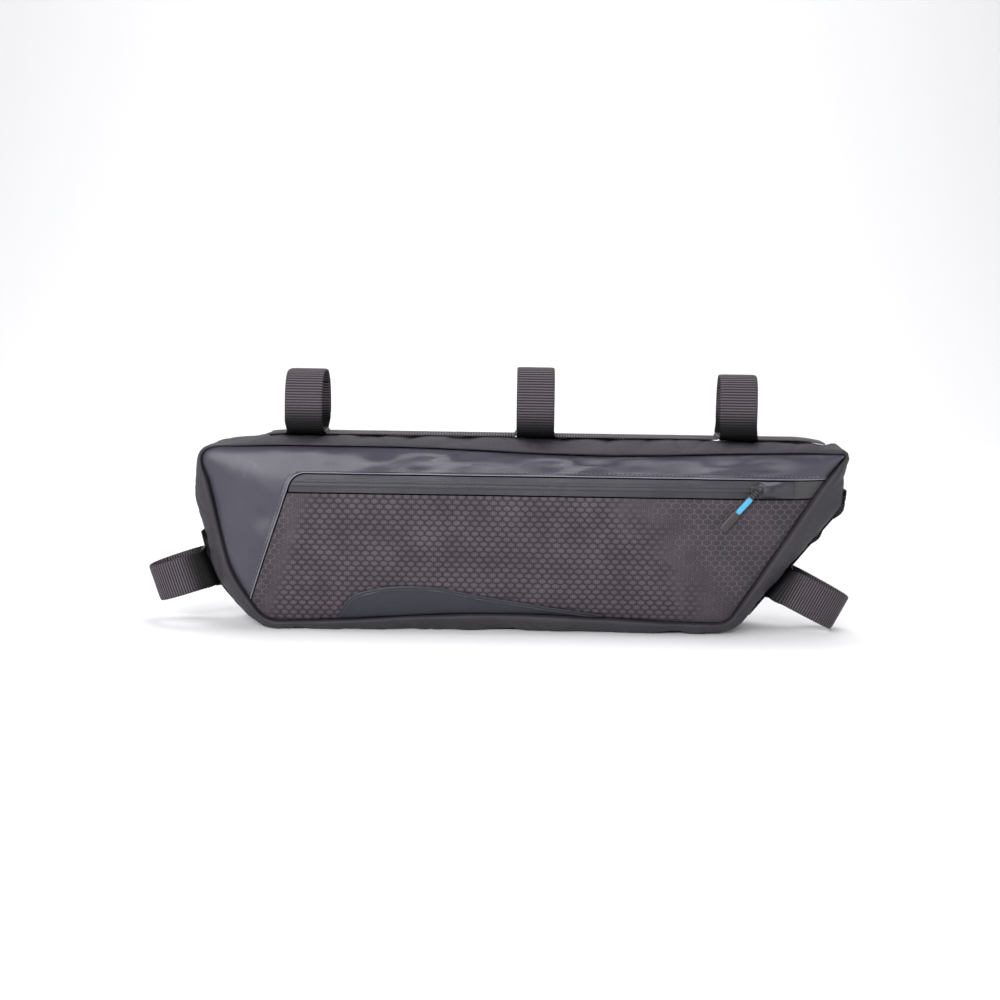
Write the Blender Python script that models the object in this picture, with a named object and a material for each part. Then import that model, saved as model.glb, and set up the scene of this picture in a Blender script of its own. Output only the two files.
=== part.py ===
"""A half-frame bag that is strapped inside a bicycle frame.

It stands on its base as it would on a table: +X runs to the front of the bicycle, -Y faces the
side with the zip, and +Z is up. The origin is the middle of the footprint, on the table.
"""

import math

import bmesh
import bpy
import numpy as np
from mathutils import Matrix

MM = 0.001

# The side panels' seam, which the whole bag is built on
SEAM_LENGTH = 432.5 * MM
SEAM_HEIGHT = 118 * MM
SEAM_DEPTH = 52 * MM
END_TAPER = 0.2
TAPER_LENGTH = 60 * MM
CORNER_ROUNDING = 20 * MM
BASE_REST = 6.2 * MM

# The seam's top line sags and its lower line arches: how far, where and over how much of the length
TOP_SAG = 3.6 * MM
TOP_SAG_PLACE = 0.62
TOP_SAG_REACH = 0.33
BASE_ARCH = 6.2 * MM
BASE_ARCH_PLACE = 0.465
BASE_ARCH_REACH = 0.36

# The gusset that runs round the bag between the two seams
GUSSET_BULGE = 12 * MM
GUSSET_LIP = 2.4 * MM
STAND_SMOOTHING = 8 * MM
CLOTH = 1.5 * MM

# The filled side panels
PANEL_BULGE = 9 * MM
PANEL_ROUNDING = 15 * MM
FOLD_WIDTH = 11 * MM
FOLD_DEPTH = 1.8 * MM
SEWING_GAP = 0.5 * MM

# The pocket's slanting rear side, in shares of the seam's length and height
POCKET_FOOT_X = 0.0855
POCKET_FOOT_Z = 0.123
POCKET_HEAD_X = 0.1526
POCKET_ROUND = 9 * MM

# The zip, its hood and the patch on the pocket
ZIP_HEIGHT = 13 * MM
ZIP_DROP = 17.3 * MM
ZIP_CLOTH = 1.1 * MM
WRAP_LIFT = 0.6 * MM
PATCH_CLOTH = 0.9 * MM
PATCH_LENGTH = 176 * MM
PATCH_HEIGHT = 21 * MM
HOOD_LENGTH = 23.5 * MM
HOOD_RISE = 3.9 * MM
HOOD_TO_TIP = 37 * MM

# The slider and its pull
SLIDER_LENGTH = 9 * MM
SLIDER_WIDTH = 5.5 * MM
SLIDER_THICKNESS = 2 * MM
PULL_CORD = 3.4 * MM
PULL_CORD_LENGTH = 5.5 * MM
GRIP_LENGTH = 29 * MM
GRIP_WIDTH = 5.5 * MM
GRIP_THICKNESS = 2.4 * MM
GRIP_STANDOFF = 3 * MM
STRIPE_LENGTH = 13 * MM
STRIPE_WIDTH = 3.4 * MM
STRIPE_THICKNESS = 0.5 * MM
PULL_ANGLE = math.radians(229)

# The webbing: straps that close round the bicycle's tubes, and the chains that hold them
WEBBING_WIDTH = 25 * MM
STRAP_THICKNESS = 1.6 * MM
CHAIN_WIDTH = 23 * MM
CHAIN_THICKNESS = 1.4 * MM
CHAIN_STEP = 4.6 * MM
TACK_HALF = 2.5 * MM
REST_GAP = 0.3 * MM
STRAP_GAP = 0.35 * MM
EMPTY_BOW = 0.8 * MM
BOW_RAMP = 5 * MM
LOOP_HEIGHT = 49 * MM
LOOP_DEPTH = 34 * MM
LEAN_FROM = 2.5 * MM
LEAN_RAMP = 8 * MM

# How far to either side a chain's direction is taken, as a share of the way between its corners
WAY_REACH = 0.01

# How high up the loop's back a strap begins, and how far down its other end comes over it
STRAP_BEGINS = 0.80
STRAP_ENDS = 0.27

# Corners of the side panel, anticlockwise from the lower rear one. x and z are shares of the seam's
# length and height, round is a share of the full corner rounding, and stand is how far the gusset's
# crown stands out from the seam there, as a share of its bulge.
CORNER_COLUMNS = ("name", "x", "z", "round", "stand", "arc_steps", "edge_steps")
CORNERS = [
    ("base_rear", 0.106, 0.000, 0.55, 0.71, 4, 17),
    ("base_front", 0.822, 0.025, 0.35, 0.85, 4, 9),
    ("front_shoulder", 0.962, 0.835, 0.40, 1.92, 2, 3),
    ("front_tip", 1.000, 0.996, 0.25, 0.12, 4, 3),
    ("top_front", 0.943, 0.998, 0.50, 0.52, 2, 20),
    ("top_rear", 0.1225, 1.000, 0.80, 0.48, 2, 4),
    ("rear_top", -0.003, 0.980, 0.90, 0.04, 5, 2),
    ("rear_shoulder", 0.0205, 0.800, 0.25, 1.22, 2, 4),
    ("rear_knee", 0.053, 0.292, 0.70, 1.20, 3, 4),
]

# Half of the gusset's section, from the seam to the crown: out is the share of the way to the crown,
# deep the share of half the seam's depth, and lip the share of the rolled lip in front of the seam.
PROFILE_COLUMNS = ("out", "deep", "lip")
PROFILE = [
    (0.00, 1.00, 0.00),
    (0.22, 1.00, 1.00),
    (0.48, 0.94, 0.50),
    (0.80, 0.76, 0.00),
    (0.965, 0.47, 0.00),
    (1.00, 0.00, 0.00),
]

# Folds of the front panel, from one end to the other in shares of the seam's length and height, with
# the half width and the depth in shares of the widest and deepest fold. A negative depth is a ridge.
FOLD_COLUMNS = ("x0", "z0", "x1", "z1", "width", "depth")
FOLDS = [
    (0.395, 0.62, 0.50, 0.16, 0.75, 1.0),
    (0.42, 0.44, 0.47, 0.20, 0.55, -0.65),
    (0.60, 0.52, 0.63, 0.14, 0.75, 0.65),
    (0.725, 0.30, 0.70, 0.08, 0.55, 0.8),
    (0.03, 0.86, 0.11, 0.62, 1.0, 1.0),
    (0.12, 0.93, 0.22, 0.88, 0.55, 0.9),
    (0.30, 0.95, 0.36, 0.88, 0.55, 0.65),
    (0.52, 0.92, 0.56, 0.88, 0.45, 0.7),
    (0.72, 0.94, 0.76, 0.87, 0.55, 0.8),
]

# The patch's upper edge: shares of its length from the rear end, and of its height over the seam
PATCH_EDGE = [(0.00, 0.22), (0.05, 0.74), (0.12, 0.93), (0.22, 1.00), (0.36, 0.92),
              (0.52, 0.62), (0.72, 0.34), (0.88, 0.18), (1.00, 0.09)]
PATCH_REAR = 0.222

# The chains: the corners that they run between, where they begin and end as shares of the way from
# one to the other, and their sewn tacks as shares of their own length.
CHAIN_COLUMNS = ("name", "start", "end", "first", "last", "tacks")
CHAINS = [
    ("chain_top", "top_rear", "top_front", -0.015, 1.03,
     (0.007, 0.135, 0.272, 0.412, 0.553, 0.671, 0.782, 0.906, 0.993)),
    ("chain_rear", "rear_knee", "base_rear", -0.62, 0.78, (0.04, 0.68, 0.96)),
    ("chain_front", "front_shoulder", "base_front", -0.05, 0.86, (0.025, 0.25, 0.45, 0.975)),
]

# The straps: the chain that each one passes under, where along it, the loop's height as a share of
# the tallest one, how far the loop leans along the chain, in degrees, and how far its back stands
# further along the chain than its front, as a share of the strap's width.
STRAP_COLUMNS = ("name", "chain", "place", "height", "lean", "twist")
STRAPS = [
    ("strap_top_rear", "chain_top", 0.0665, 0.87, 0, 0.10),
    ("strap_top_middle", "chain_top", 0.4785, 0.93, 0, 0),
    ("strap_top_front", "chain_top", 0.843, 0.87, 0, 0.06),
    ("strap_seat_tube", "chain_rear", 0.37, 0.875, -4.5, 0),
    ("strap_down_tube", "chain_front", 0.72, 1.03, -11.5, 0),
]

COLOURS = {
    "gusset": (0.030, 0.030, 0.036, 0.75),
    "coated": (0.040, 0.042, 0.058, 0.38),
    "ripstop": (0.058, 0.050, 0.055, 0.70),
    "zip": (0.045, 0.046, 0.062, 0.50),
    "webbing": (0.024, 0.022, 0.026, 0.60),
    "rubber": (0.018, 0.018, 0.020, 0.55),
    "slider": (0.030, 0.030, 0.034, 0.35),
    "blue": (0.030, 0.330, 0.620, 0.50),
}


def rows_of(columns, table):
    """The table's rows as dictionaries."""
    return [dict(zip(columns, row)) for row in table]


def clear_scene():
    for obj in list(bpy.data.objects):
        bpy.data.objects.remove(obj, do_unlink=True)


def finish_of(slot):
    """The material of a slot, made once."""
    found = bpy.data.materials.get(slot)
    if found:
        return found
    red, green, blue, roughness = COLOURS[slot]
    material = bpy.data.materials.new(slot)
    material.use_nodes = True
    shader = material.node_tree.nodes["Principled BSDF"]
    shader.inputs["Base Color"].default_value = (red, green, blue, 1)
    shader.inputs["Roughness"].default_value = roughness
    shader.inputs["Metallic"].default_value = 0.0
    return material


def add_object(name, mesh, slot):
    mesh.materials.append(finish_of(slot))
    obj = bpy.data.objects.new(name, mesh)
    bpy.context.scene.collection.objects.link(obj)
    return obj


def shell(name, outer, inner, slot, ring=False):
    """A closed wall between two grids of points. A ring closes on itself along the first direction."""
    rows, columns = outer.shape[:2]
    points = np.concatenate([outer.reshape(-1, 3), inner.reshape(-1, 3)])
    layer = rows * columns
    faces = []

    def at(i, j, side):
        return side * layer + (i % rows) * columns + j

    for i in range(rows if ring else rows - 1):
        for j in range(columns - 1):
            faces.append((at(i, j, 0), at(i + 1, j, 0), at(i + 1, j + 1, 0), at(i, j + 1, 0)))
            faces.append((at(i, j, 1), at(i, j + 1, 1), at(i + 1, j + 1, 1), at(i + 1, j, 1)))
        for j in (0, columns - 1):
            faces.append((at(i, j, 0), at(i, j, 1), at(i + 1, j, 1), at(i + 1, j, 0)))
    if not ring:
        for i in (0, rows - 1):
            for j in range(columns - 1):
                faces.append((at(i, j, 0), at(i, j + 1, 0), at(i, j + 1, 1), at(i, j, 1)))
    mesh = bpy.data.meshes.new(name)
    mesh.from_pydata(points.tolist(), [], faces)
    tidy = bmesh.new()
    tidy.from_mesh(mesh)
    bmesh.ops.recalc_face_normals(tidy, faces=tidy.faces)
    tidy.to_mesh(mesh)
    tidy.free()
    mesh.shade_smooth()
    mesh.set_sharp_from_angle(angle=math.radians(40))
    return add_object(name, mesh, slot)


def in_world(flat, depth):
    """Points (x, z) with their y added."""
    return np.stack([flat[..., 0], depth, flat[..., 1]], axis=-1)


def along(line, shares):
    """Points at these shares of a polyline's length."""
    steps = np.linalg.norm(np.diff(line, axis=0), axis=1)
    run = np.concatenate([[0], np.cumsum(steps)])
    wanted = np.asarray(shares) * run[-1]
    return np.stack([np.interp(wanted, run, line[:, k]) for k in range(line.shape[1])], axis=-1)


def rounded(corners, reaches, arc_steps, edge_steps):
    """A closed outline: straight edges, and at each corner a quadratic curve that reaches back from it.
    Also gives the index of the middle of each corner's curve."""
    corners = np.asarray(corners)
    count = len(corners)
    forward = np.roll(corners, -1, axis=0) - corners
    forward /= np.linalg.norm(forward, axis=1)[:, None]
    points, middles = [], []
    for k in range(count):
        before = corners[k] - forward[k - 1] * reaches[k]
        after = corners[k] + forward[k] * reaches[k]
        t = np.linspace(0, 1, arc_steps[k] + 1)[:, None]
        curve = (1 - t) ** 2 * before + 2 * t * (1 - t) * corners[k] + t**2 * after
        middles.append(len(points) + arc_steps[k] // 2)
        points.extend(curve)
        following = (k + 1) % count
        ends_at = corners[following] - forward[k] * reaches[following]
        for share in np.linspace(0, 1, edge_steps[k] + 1)[1:-1]:
            points.append(after + (ends_at - after) * share)
    return np.array(points), middles


def hump(share, middle, half_width):
    """1 at the middle, falling smoothly to 0 half a width away."""
    reach = np.clip(np.abs(share - middle) / half_width, 0, 1)
    return np.cos(reach * math.pi / 2) ** 2


def outward(line):
    """The unit normals of a closed anticlockwise outline."""
    ahead = np.roll(line, -1, axis=0) - np.roll(line, 1, axis=0)
    ahead /= np.linalg.norm(ahead, axis=1)[:, None]
    return np.stack([ahead[:, 1], -ahead[:, 0]], axis=1)


def outlines(fineness=1):
    """The seam, the crown that stands out from it, and the corners' indices along both."""
    rows = rows_of(CORNER_COLUMNS, CORNERS)
    seam, middles = rounded(
        [(row["x"] * SEAM_LENGTH, row["z"] * SEAM_HEIGHT) for row in rows],
        [row["round"] * CORNER_ROUNDING for row in rows],
        [round(row["arc_steps"] * fineness) for row in rows],
        [round(row["edge_steps"] * fineness) for row in rows],
    )
    steps = np.linalg.norm(np.roll(seam, -1, axis=0) - seam, axis=1)
    run = np.concatenate([[0], np.cumsum(steps)[:-1]])
    stands = [row["stand"] * GUSSET_BULGE for row in rows]
    stand = np.mean([
        np.interp(run + shift * STAND_SMOOTHING, run[middles], stands, period=steps.sum())
        for shift in (-1, -0.5, 0, 0.5, 1)
    ], axis=0)
    crown = seam + outward(seam) * stand[:, None]
    share = seam[:, 0] / SEAM_LENGTH
    height = np.clip(seam[:, 1] / SEAM_HEIGHT, 0, 1)
    seam[:, 1] -= TOP_SAG * hump(share, TOP_SAG_PLACE, TOP_SAG_REACH) * height**4
    seam[:, 1] += BASE_ARCH * hump(share, BASE_ARCH_PLACE, BASE_ARCH_REACH) * (1 - height) ** 4
    return seam, crown, {row["name"]: middle for row, middle in zip(rows, middles)}


SEAM, CROWN, CORNER_AT = outlines()
FINE_CROWN, FINE_CORNER_AT = outlines(6)[1:]


def inset(line, distance):
    """A closed outline moved inwards."""
    ahead = np.roll(line, -1, axis=0) - line
    ahead /= np.linalg.norm(ahead, axis=1)[:, None]
    behind = np.roll(ahead, 1, axis=0)
    inwards = np.stack([-(ahead + behind)[:, 1], (ahead + behind)[:, 0]], axis=1)
    inwards /= np.linalg.norm(inwards, axis=1)[:, None]
    mitre = 1 / np.clip((inwards * np.stack([-ahead[:, 1], ahead[:, 0]], axis=1)).sum(1), 0.5, 1)
    return line + inwards * (distance * mitre)[:, None]


PANEL_EDGE = inset(SEAM, SEWING_GAP)


def stretch(line, first, last):
    """The points of a closed line from one index to another, going on past its end if need be."""
    if last < first:
        last += len(line)
    return line[np.arange(first, last + 1) % len(line)]


def distance_from_seam(flat):
    """A smooth distance from the seam: the square root of 2 over the sum, along the seam, of its
    length divided by the cube of the distance. It is the true distance from a straight seam."""
    shape = flat.shape[:-1]
    points = flat.reshape(-1, 1, 2)
    start = SEAM[None]
    edge = np.roll(SEAM, -1, axis=0)[None] - start
    length = np.linalg.norm(edge, axis=-1)
    way = edge / length[..., None]
    from_start = points - start
    s0 = -(from_start * way).sum(-1)
    s1 = s0 + length
    square = np.maximum((from_start**2).sum(-1) - s0**2, 1e-12)
    total = (s1 / np.sqrt(square + s1**2) - s0 / np.sqrt(square + s0**2)) / square
    return np.sqrt(2 / total.sum(-1)).reshape(shape)


def fold_depth(flat):
    """How far the front panel's folds go in: a bell across each fold that fades out at its ends."""
    size = np.array([SEAM_LENGTH, SEAM_HEIGHT])
    total = np.zeros(flat.shape[:-1])
    for fold in rows_of(FOLD_COLUMNS, FOLDS):
        start = np.array([fold["x0"], fold["z0"]]) * size
        way = np.array([fold["x1"], fold["z1"]]) * size - start
        length = np.linalg.norm(way)
        way /= length
        off = flat - start
        run = off @ way
        past = np.maximum(np.maximum(-run, run - length), 0)
        across = off @ np.array([-way[1], way[0]])
        width = fold["width"] * FOLD_WIDTH
        total += fold["depth"] * FOLD_DEPTH * np.exp(-(across**2 + past**2) / width**2)
    return total


def half_depth(x):
    """Half of the bag's depth at the seam, which narrows smoothly towards both ends."""
    into_end = np.maximum(TAPER_LENGTH - x, x - (SEAM_LENGTH - TAPER_LENGTH)) / TAPER_LENGTH
    return SEAM_DEPTH / 2 * (1 - END_TAPER * np.maximum(into_end, 0) ** 2)


def front_depth(flat, lift=0.0):
    """The y of the front panel's face: it rises from the seam like a filled cushion."""
    rise = 1 - np.exp(-distance_from_seam(flat) / PANEL_ROUNDING)
    return -(half_depth(flat[..., 0]) + PANEL_BULGE * rise - fold_depth(flat) * rise**2 + lift)


def back_depth(flat):
    rise = 1 - np.exp(-distance_from_seam(flat) / PANEL_ROUNDING)
    return half_depth(flat[..., 0]) + PANEL_BULGE * rise


def patch(name, flat, slot, thickness, lift=0.0):
    """A piece of the front panel with a wall of even thickness behind its face."""
    face = front_depth(flat, lift)
    return shell(name, in_world(flat, face), in_world(flat, face + thickness), slot)


def ruled(first, second, shares):
    """A grid of points between two lines."""
    shares = np.asarray(shares)[None, :, None]
    return first[:, None, :] * (1 - shares) + second[:, None, :] * shares


def coons(bottom, top, left, right):
    """A grid of points that fills the space inside four lines."""
    u = np.linspace(0, 1, len(bottom))[:, None, None]
    v = np.linspace(0, 1, len(left))[None, :, None]
    between = (1 - v) * bottom[:, None] + v * top[:, None] + (1 - u) * left[None] + u * right[None]
    corners = (1 - u) * ((1 - v) * bottom[0] + v * top[0]) + u * ((1 - v) * bottom[-1] + v * top[-1])
    return between - corners


def eased(count):
    """Shares from 0 to 1 that lie closer together at both ends."""
    return (1 - np.cos(np.linspace(0, math.pi, count))) / 2


def build_gusset():
    """The gusset: one ring of the profile, flattened underneath. Its wall keeps outside the seam."""
    half = rows_of(PROFILE_COLUMNS, PROFILE)
    bulge = np.linalg.norm(CROWN - SEAM, axis=1)
    lip = GUSSET_LIP * np.minimum(1, bulge / GUSSET_BULGE)
    front = []
    for row in half:
        flat = SEAM + (CROWN - SEAM) * row["out"]
        front.append(in_world(flat, -(half_depth(SEAM[:, 0]) * row["deep"] + lip * row["lip"])))
    back = [line * np.array([1, -1, 1]) for line in reversed(front[:-1])]
    outer = np.stack(front + back, axis=1)
    outer[..., 2] = np.maximum(outer[..., 2], -BASE_REST)
    around = np.roll(outer, -1, axis=0) - np.roll(outer, 1, axis=0)
    across = np.gradient(outer, axis=1)
    normal = np.cross(across, around)
    normal /= np.linalg.norm(normal, axis=-1, keepdims=True)
    shares = np.array([row["out"] for row in half] + [row["out"] for row in half[-2::-1]])
    wall = normal * CLOTH
    sideways = np.linalg.norm(wall[..., [0, 2]], axis=-1)
    allowed = np.minimum(bulge[:, None] * shares, sideways)
    wall[..., [0, 2]] *= (allowed / np.maximum(sideways, CLOTH * 1e-6))[..., None]
    edges = [0, 1, -2, -1]
    wall[:, edges, 1] = np.sign(outer[:, edges, 1]) * CLOTH
    return shell("gusset", outer, outer - wall, "gusset", ring=True)


def panel_side(start, end):
    """The panel's edge between two corners, anticlockwise."""
    return stretch(PANEL_EDGE, CORNER_AT[start], CORNER_AT[end])


def build_back_panel():
    """The plain panel on the other side."""
    across, upwards = eased(25), eased(9)
    base = along(panel_side("base_rear", "base_front"), across)
    front = along(panel_side("base_front", "front_tip"), upwards)
    top = along(panel_side("front_tip", "rear_top")[::-1], across)
    rear = along(panel_side("rear_top", "base_rear")[::-1], upwards)
    flat = coons(base, top, rear, front)
    face = back_depth(flat)
    return shell("back_panel", in_world(flat, face), in_world(flat, face - CLOTH), "gusset")


def zip_top():
    return SEAM_HEIGHT - ZIP_DROP


def zip_bottom():
    return zip_top() - ZIP_HEIGHT


def front_edge(height):
    """The panel edge's x at this height on its front side."""
    line = panel_side("base_front", "front_tip")
    return float(np.interp(height, line[:, 1], line[:, 0]))


def rear_edge(height):
    """The panel edge's x at this height on its rear side."""
    line = panel_side("rear_top", "base_rear")[::-1]
    return float(np.interp(height, line[:, 1], line[:, 0]))


def pocket_foot():
    return np.array([POCKET_FOOT_X * SEAM_LENGTH, POCKET_FOOT_Z * SEAM_HEIGHT])


def pocket_head():
    return np.array([POCKET_HEAD_X * SEAM_LENGTH, zip_top()])


def pocket_edge(count):
    """The wrap's inner edge: up from the pocket's foot, round its corner and forward over the zip."""
    foot, head = pocket_foot(), pocket_head()
    end = np.array([front_edge(zip_top()), zip_top()])
    up = (head - foot) / np.linalg.norm(head - foot)
    t = np.linspace(0, 1, 9)[:, None]
    before, after = head - up * POCKET_ROUND, head + np.array([POCKET_ROUND, 0])
    curve = (1 - t) ** 2 * before + 2 * t * (1 - t) * head + t**2 * after
    return along(np.concatenate([[foot], curve, [end]]), np.linspace(0, 1, count))


def pocket_side(height):
    """The x of the pocket's slanting rear side at this height."""
    foot, head = pocket_foot(), pocket_head()
    return foot[0] + (height - foot[1]) * (head[0] - foot[0]) / (head[1] - foot[1])


def build_wrap():
    """The coated wrap: the rear corner and the band over the zip, in one piece."""
    shares = np.linspace(0, 1, 54)
    inner = pocket_edge(len(shares))
    foot_z = inner[0, 1]
    rear = panel_side("rear_top", "base_rear")[::-1]
    top = panel_side("front_tip", "rear_top")[::-1]
    outer = np.concatenate([[[rear_edge(foot_z), foot_z]], rear[rear[:, 1] > foot_z], top[1:]])
    flat = ruled(along(outer, shares), inner, (0, 0.1, 0.25, 0.5, 0.78, 1))
    return patch("coated_wrap", flat, "coated", CLOTH, WRAP_LIFT)


def build_zip():
    """The coated zip tape, closed, between the wrap and the pocket."""
    bottom_z = zip_bottom() + SEWING_GAP
    upper = pocket_edge(400)
    ahead = np.gradient(upper, axis=0)
    ahead /= np.linalg.norm(ahead, axis=1)[:, None]
    upper = upper + np.stack([ahead[:, 1], -ahead[:, 0]], axis=1) * 2 * SEWING_GAP
    upper = upper[upper[:, 1] > bottom_z + 4 * SEWING_GAP]
    upper[:, 0] = np.minimum(upper[:, 0], front_edge(upper[-1, 1]))
    first = np.array([pocket_side(bottom_z) + 3 * SEWING_GAP, bottom_z])
    last = np.array([front_edge(bottom_z), bottom_z])
    shares = np.linspace(0, 1, 32)
    flat = ruled(along(np.array([first, last]), shares), along(upper, shares), (0, 0.5, 1))
    return patch("zip_tape", flat, "zip", ZIP_CLOTH)


def build_pocket():
    """The pocket's ripstop panel under the zip."""
    across, upwards = eased(31), eased(9)
    top_z = zip_bottom() - SEWING_GAP
    foot_z = pocket_foot()[1] - 2 * SEWING_GAP
    front = panel_side("base_front", "front_tip")
    front = np.concatenate([front[front[:, 1] < top_z], [[front_edge(top_z), top_z]]])
    base = panel_side("rear_knee", "base_front")
    first = np.array([rear_edge(foot_z), foot_z])
    base = np.concatenate([[first], base[(base[:, 1] < foot_z) & (base[:, 0] > first[0])]])
    corner = np.array([pocket_side(foot_z) + 2 * SEWING_GAP, foot_z + SEWING_GAP])
    head = np.array([pocket_side(top_z) + 2 * SEWING_GAP, top_z])
    bottom, top = along(base, across), along(np.array([head, front[-1]]), across)
    left, right = along(np.array([first, corner, head]), upwards), along(front, upwards)
    return patch("pocket_panel", coons(bottom, top, left, right), "ripstop", CLOTH)


def seam_height(x):
    """The height of the panel's lower edge at this x."""
    line = panel_side("base_rear", "base_front")
    return np.interp(x, line[:, 0], line[:, 1])


def build_patch():
    """The coated patch along the pocket's foot."""
    edge = np.array(PATCH_EDGE)
    shares = np.linspace(0, 1, 22)
    x = PATCH_REAR * SEAM_LENGTH + shares * PATCH_LENGTH
    low = seam_height(x)
    high = low + np.interp(shares, edge[:, 0], edge[:, 1]) * PATCH_HEIGHT
    flat = ruled(np.stack([x, low], axis=1), np.stack([x, high], axis=1), (0, 0.3, 0.65, 1))
    return patch("foot_patch", flat, "coated", PATCH_CLOTH, 2 * REST_GAP + PATCH_CLOTH)


def hood_start():
    return SEAM_LENGTH - HOOD_TO_TIP - HOOD_LENGTH


def build_hood():
    """The hood that the zip's slider is parked in: open at its rear end, sewn down on the others."""
    u = np.linspace(0, 1, 7)[:, None]
    v = np.linspace(0, 1, 9)[None, :]
    margin = 2 * SEWING_GAP
    z = zip_bottom() + margin + (ZIP_HEIGHT - 2 * margin) * v + 0 * u
    x = hood_start() + HOOD_LENGTH * u + 0 * v
    flat = np.stack([x, z], axis=-1)
    rise = HOOD_RISE * np.sin(math.pi * v) ** 0.75 * (1 - u**2.5)
    face = front_depth(flat, REST_GAP + ZIP_CLOTH) - rise
    return shell("zip_hood", in_world(flat, face), in_world(flat, face + ZIP_CLOTH), "coated")


def rounded_block(name, size, slot, bevel):
    """A block with bevelled edges, centred on its own origin."""
    mesh = bpy.data.meshes.new(name)
    shape = bmesh.new()
    bmesh.ops.create_cube(shape, size=1)
    bmesh.ops.scale(shape, vec=size, verts=shape.verts)
    bmesh.ops.bevel(shape, geom=shape.edges[:], offset=bevel, segments=2, affect="EDGES", profile=0.5)
    shape.to_mesh(mesh)
    shape.free()
    return add_object(name, mesh, slot)


def slider_place():
    """The middle of the slider, in front of the zip and half under the hood."""
    flat = np.array([hood_start() - SLIDER_LENGTH / 8, zip_bottom() + ZIP_HEIGHT / 2])
    half = np.array([SLIDER_LENGTH, SLIDER_WIDTH]) / 2
    under = flat + np.array([(-1, -1), (-1, 1), (1, -1), (1, 1), (0, 0)]) * half
    return flat, front_depth(under).min() - REST_GAP - SLIDER_THICKNESS / 2


def build_slider():
    flat, depth = slider_place()
    size = (SLIDER_LENGTH, SLIDER_THICKNESS, SLIDER_WIDTH)
    block = rounded_block("zip_slider", size, "slider", SLIDER_THICKNESS / 5)
    block.data.transform(Matrix.Translation((flat[0], depth, flat[1])))
    return block


def pull_line(start, end, count):
    """Points along the pull from one distance to another, measured from the slider's middle."""
    flat, depth = slider_place()
    way = np.array([math.cos(PULL_ANGLE), math.sin(PULL_ANGLE)])
    run = np.linspace(start, end, count)
    line = flat + run[:, None] * way
    on_slider = depth - SLIDER_THICKNESS / 2 - REST_GAP - PULL_CORD / 2
    standing = GRIP_STANDOFF * run / (PULL_CORD_LENGTH + GRIP_LENGTH)
    on_cloth = front_depth(line) - standing - REST_GAP - GRIP_THICKNESS / 2
    return in_world(line, np.minimum(on_slider, on_cloth)), way


def strip(name, line, side, thickness_way, half_widths, half_thickness, slot):
    """A flat strip along a line: side points across it, thickness_way out of its face."""
    across = np.asarray(side) * np.asarray(half_widths)[:, None]
    out = np.asarray(thickness_way) * np.asarray(half_thickness)[:, None]
    outer = np.stack([line - across + out, line + across + out], axis=1)
    inner = np.stack([line - across - out, line + across - out], axis=1)
    return shell(name, outer, inner, slot)


def build_pull():
    """The cord through the slider, the rubber grip on it and the grip's stripe."""
    forward = np.array([0, -1, 0])
    line, way = pull_line(PULL_CORD / 2, PULL_CORD_LENGTH, 6)
    side = np.array([-way[1], 0, way[0]])
    half = np.full(6, PULL_CORD / 2)
    strip("pull_cord", line, side, forward, half, half * np.linspace(0.9, 0.6, 6), "webbing")
    begin = PULL_CORD_LENGTH + REST_GAP
    line, _ = pull_line(begin, begin + GRIP_LENGTH, 12)
    shares = np.linspace(0, 1, 12)
    half = GRIP_WIDTH / 2 * np.interp(shares, (0, 0.08, 0.5, 0.62, 1), (0.75, 0.9, 0.9, 1, 1))
    thick = GRIP_THICKNESS / 2 * np.interp(shares, (0, 0.1, 0.9, 1), (0.75, 1, 1, 0.8))
    strip("pull_grip", line, side, forward, half, thick, "rubber")
    first = begin + GRIP_LENGTH * 0.04
    line, _ = pull_line(first, first + STRIPE_LENGTH, 5)
    line[:, 1] -= GRIP_THICKNESS / 2 + REST_GAP + STRIPE_THICKNESS / 2
    half = np.full(5, STRIPE_WIDTH / 2)
    strip("pull_stripe", line, side, forward, half, np.full(5, STRIPE_THICKNESS / 2), "blue")


def crown_places(chain, shares):
    """Points of the crown at these shares of a chain, with the way along it and the way out."""
    first, last = FINE_CORNER_AT[chain["start"]], FINE_CORNER_AT[chain["end"]]
    count = len(FINE_CROWN)
    step = 1 if (last - first) % count <= count / 2 else -1
    between = (last - first) * step % count
    spare = count // 8
    whole = FINE_CROWN[(first + step * np.arange(-spare, between + spare + 1)) % count]
    run = np.concatenate([[0], np.cumsum(np.linalg.norm(np.diff(whole, axis=0), axis=1))])
    run = (run - run[spare]) / (run[spare + between] - run[spare])
    wanted = chain["first"] + (chain["last"] - chain["first"]) * np.atleast_1d(shares)

    def point(at):
        return np.stack([np.interp(at, run, whole[:, k]) for k in range(2)], axis=-1)

    way = point(wanted + WAY_REACH) - point(wanted - WAY_REACH)
    way /= np.linalg.norm(way, axis=1)[:, None]
    return point(wanted), way, np.stack([way[:, 1], -way[:, 0]], axis=1) * step


def chain_length(chain):
    here = crown_places(chain, np.linspace(0, 1, 200))[0]
    return np.linalg.norm(np.diff(here, axis=0), axis=1).sum()


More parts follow.
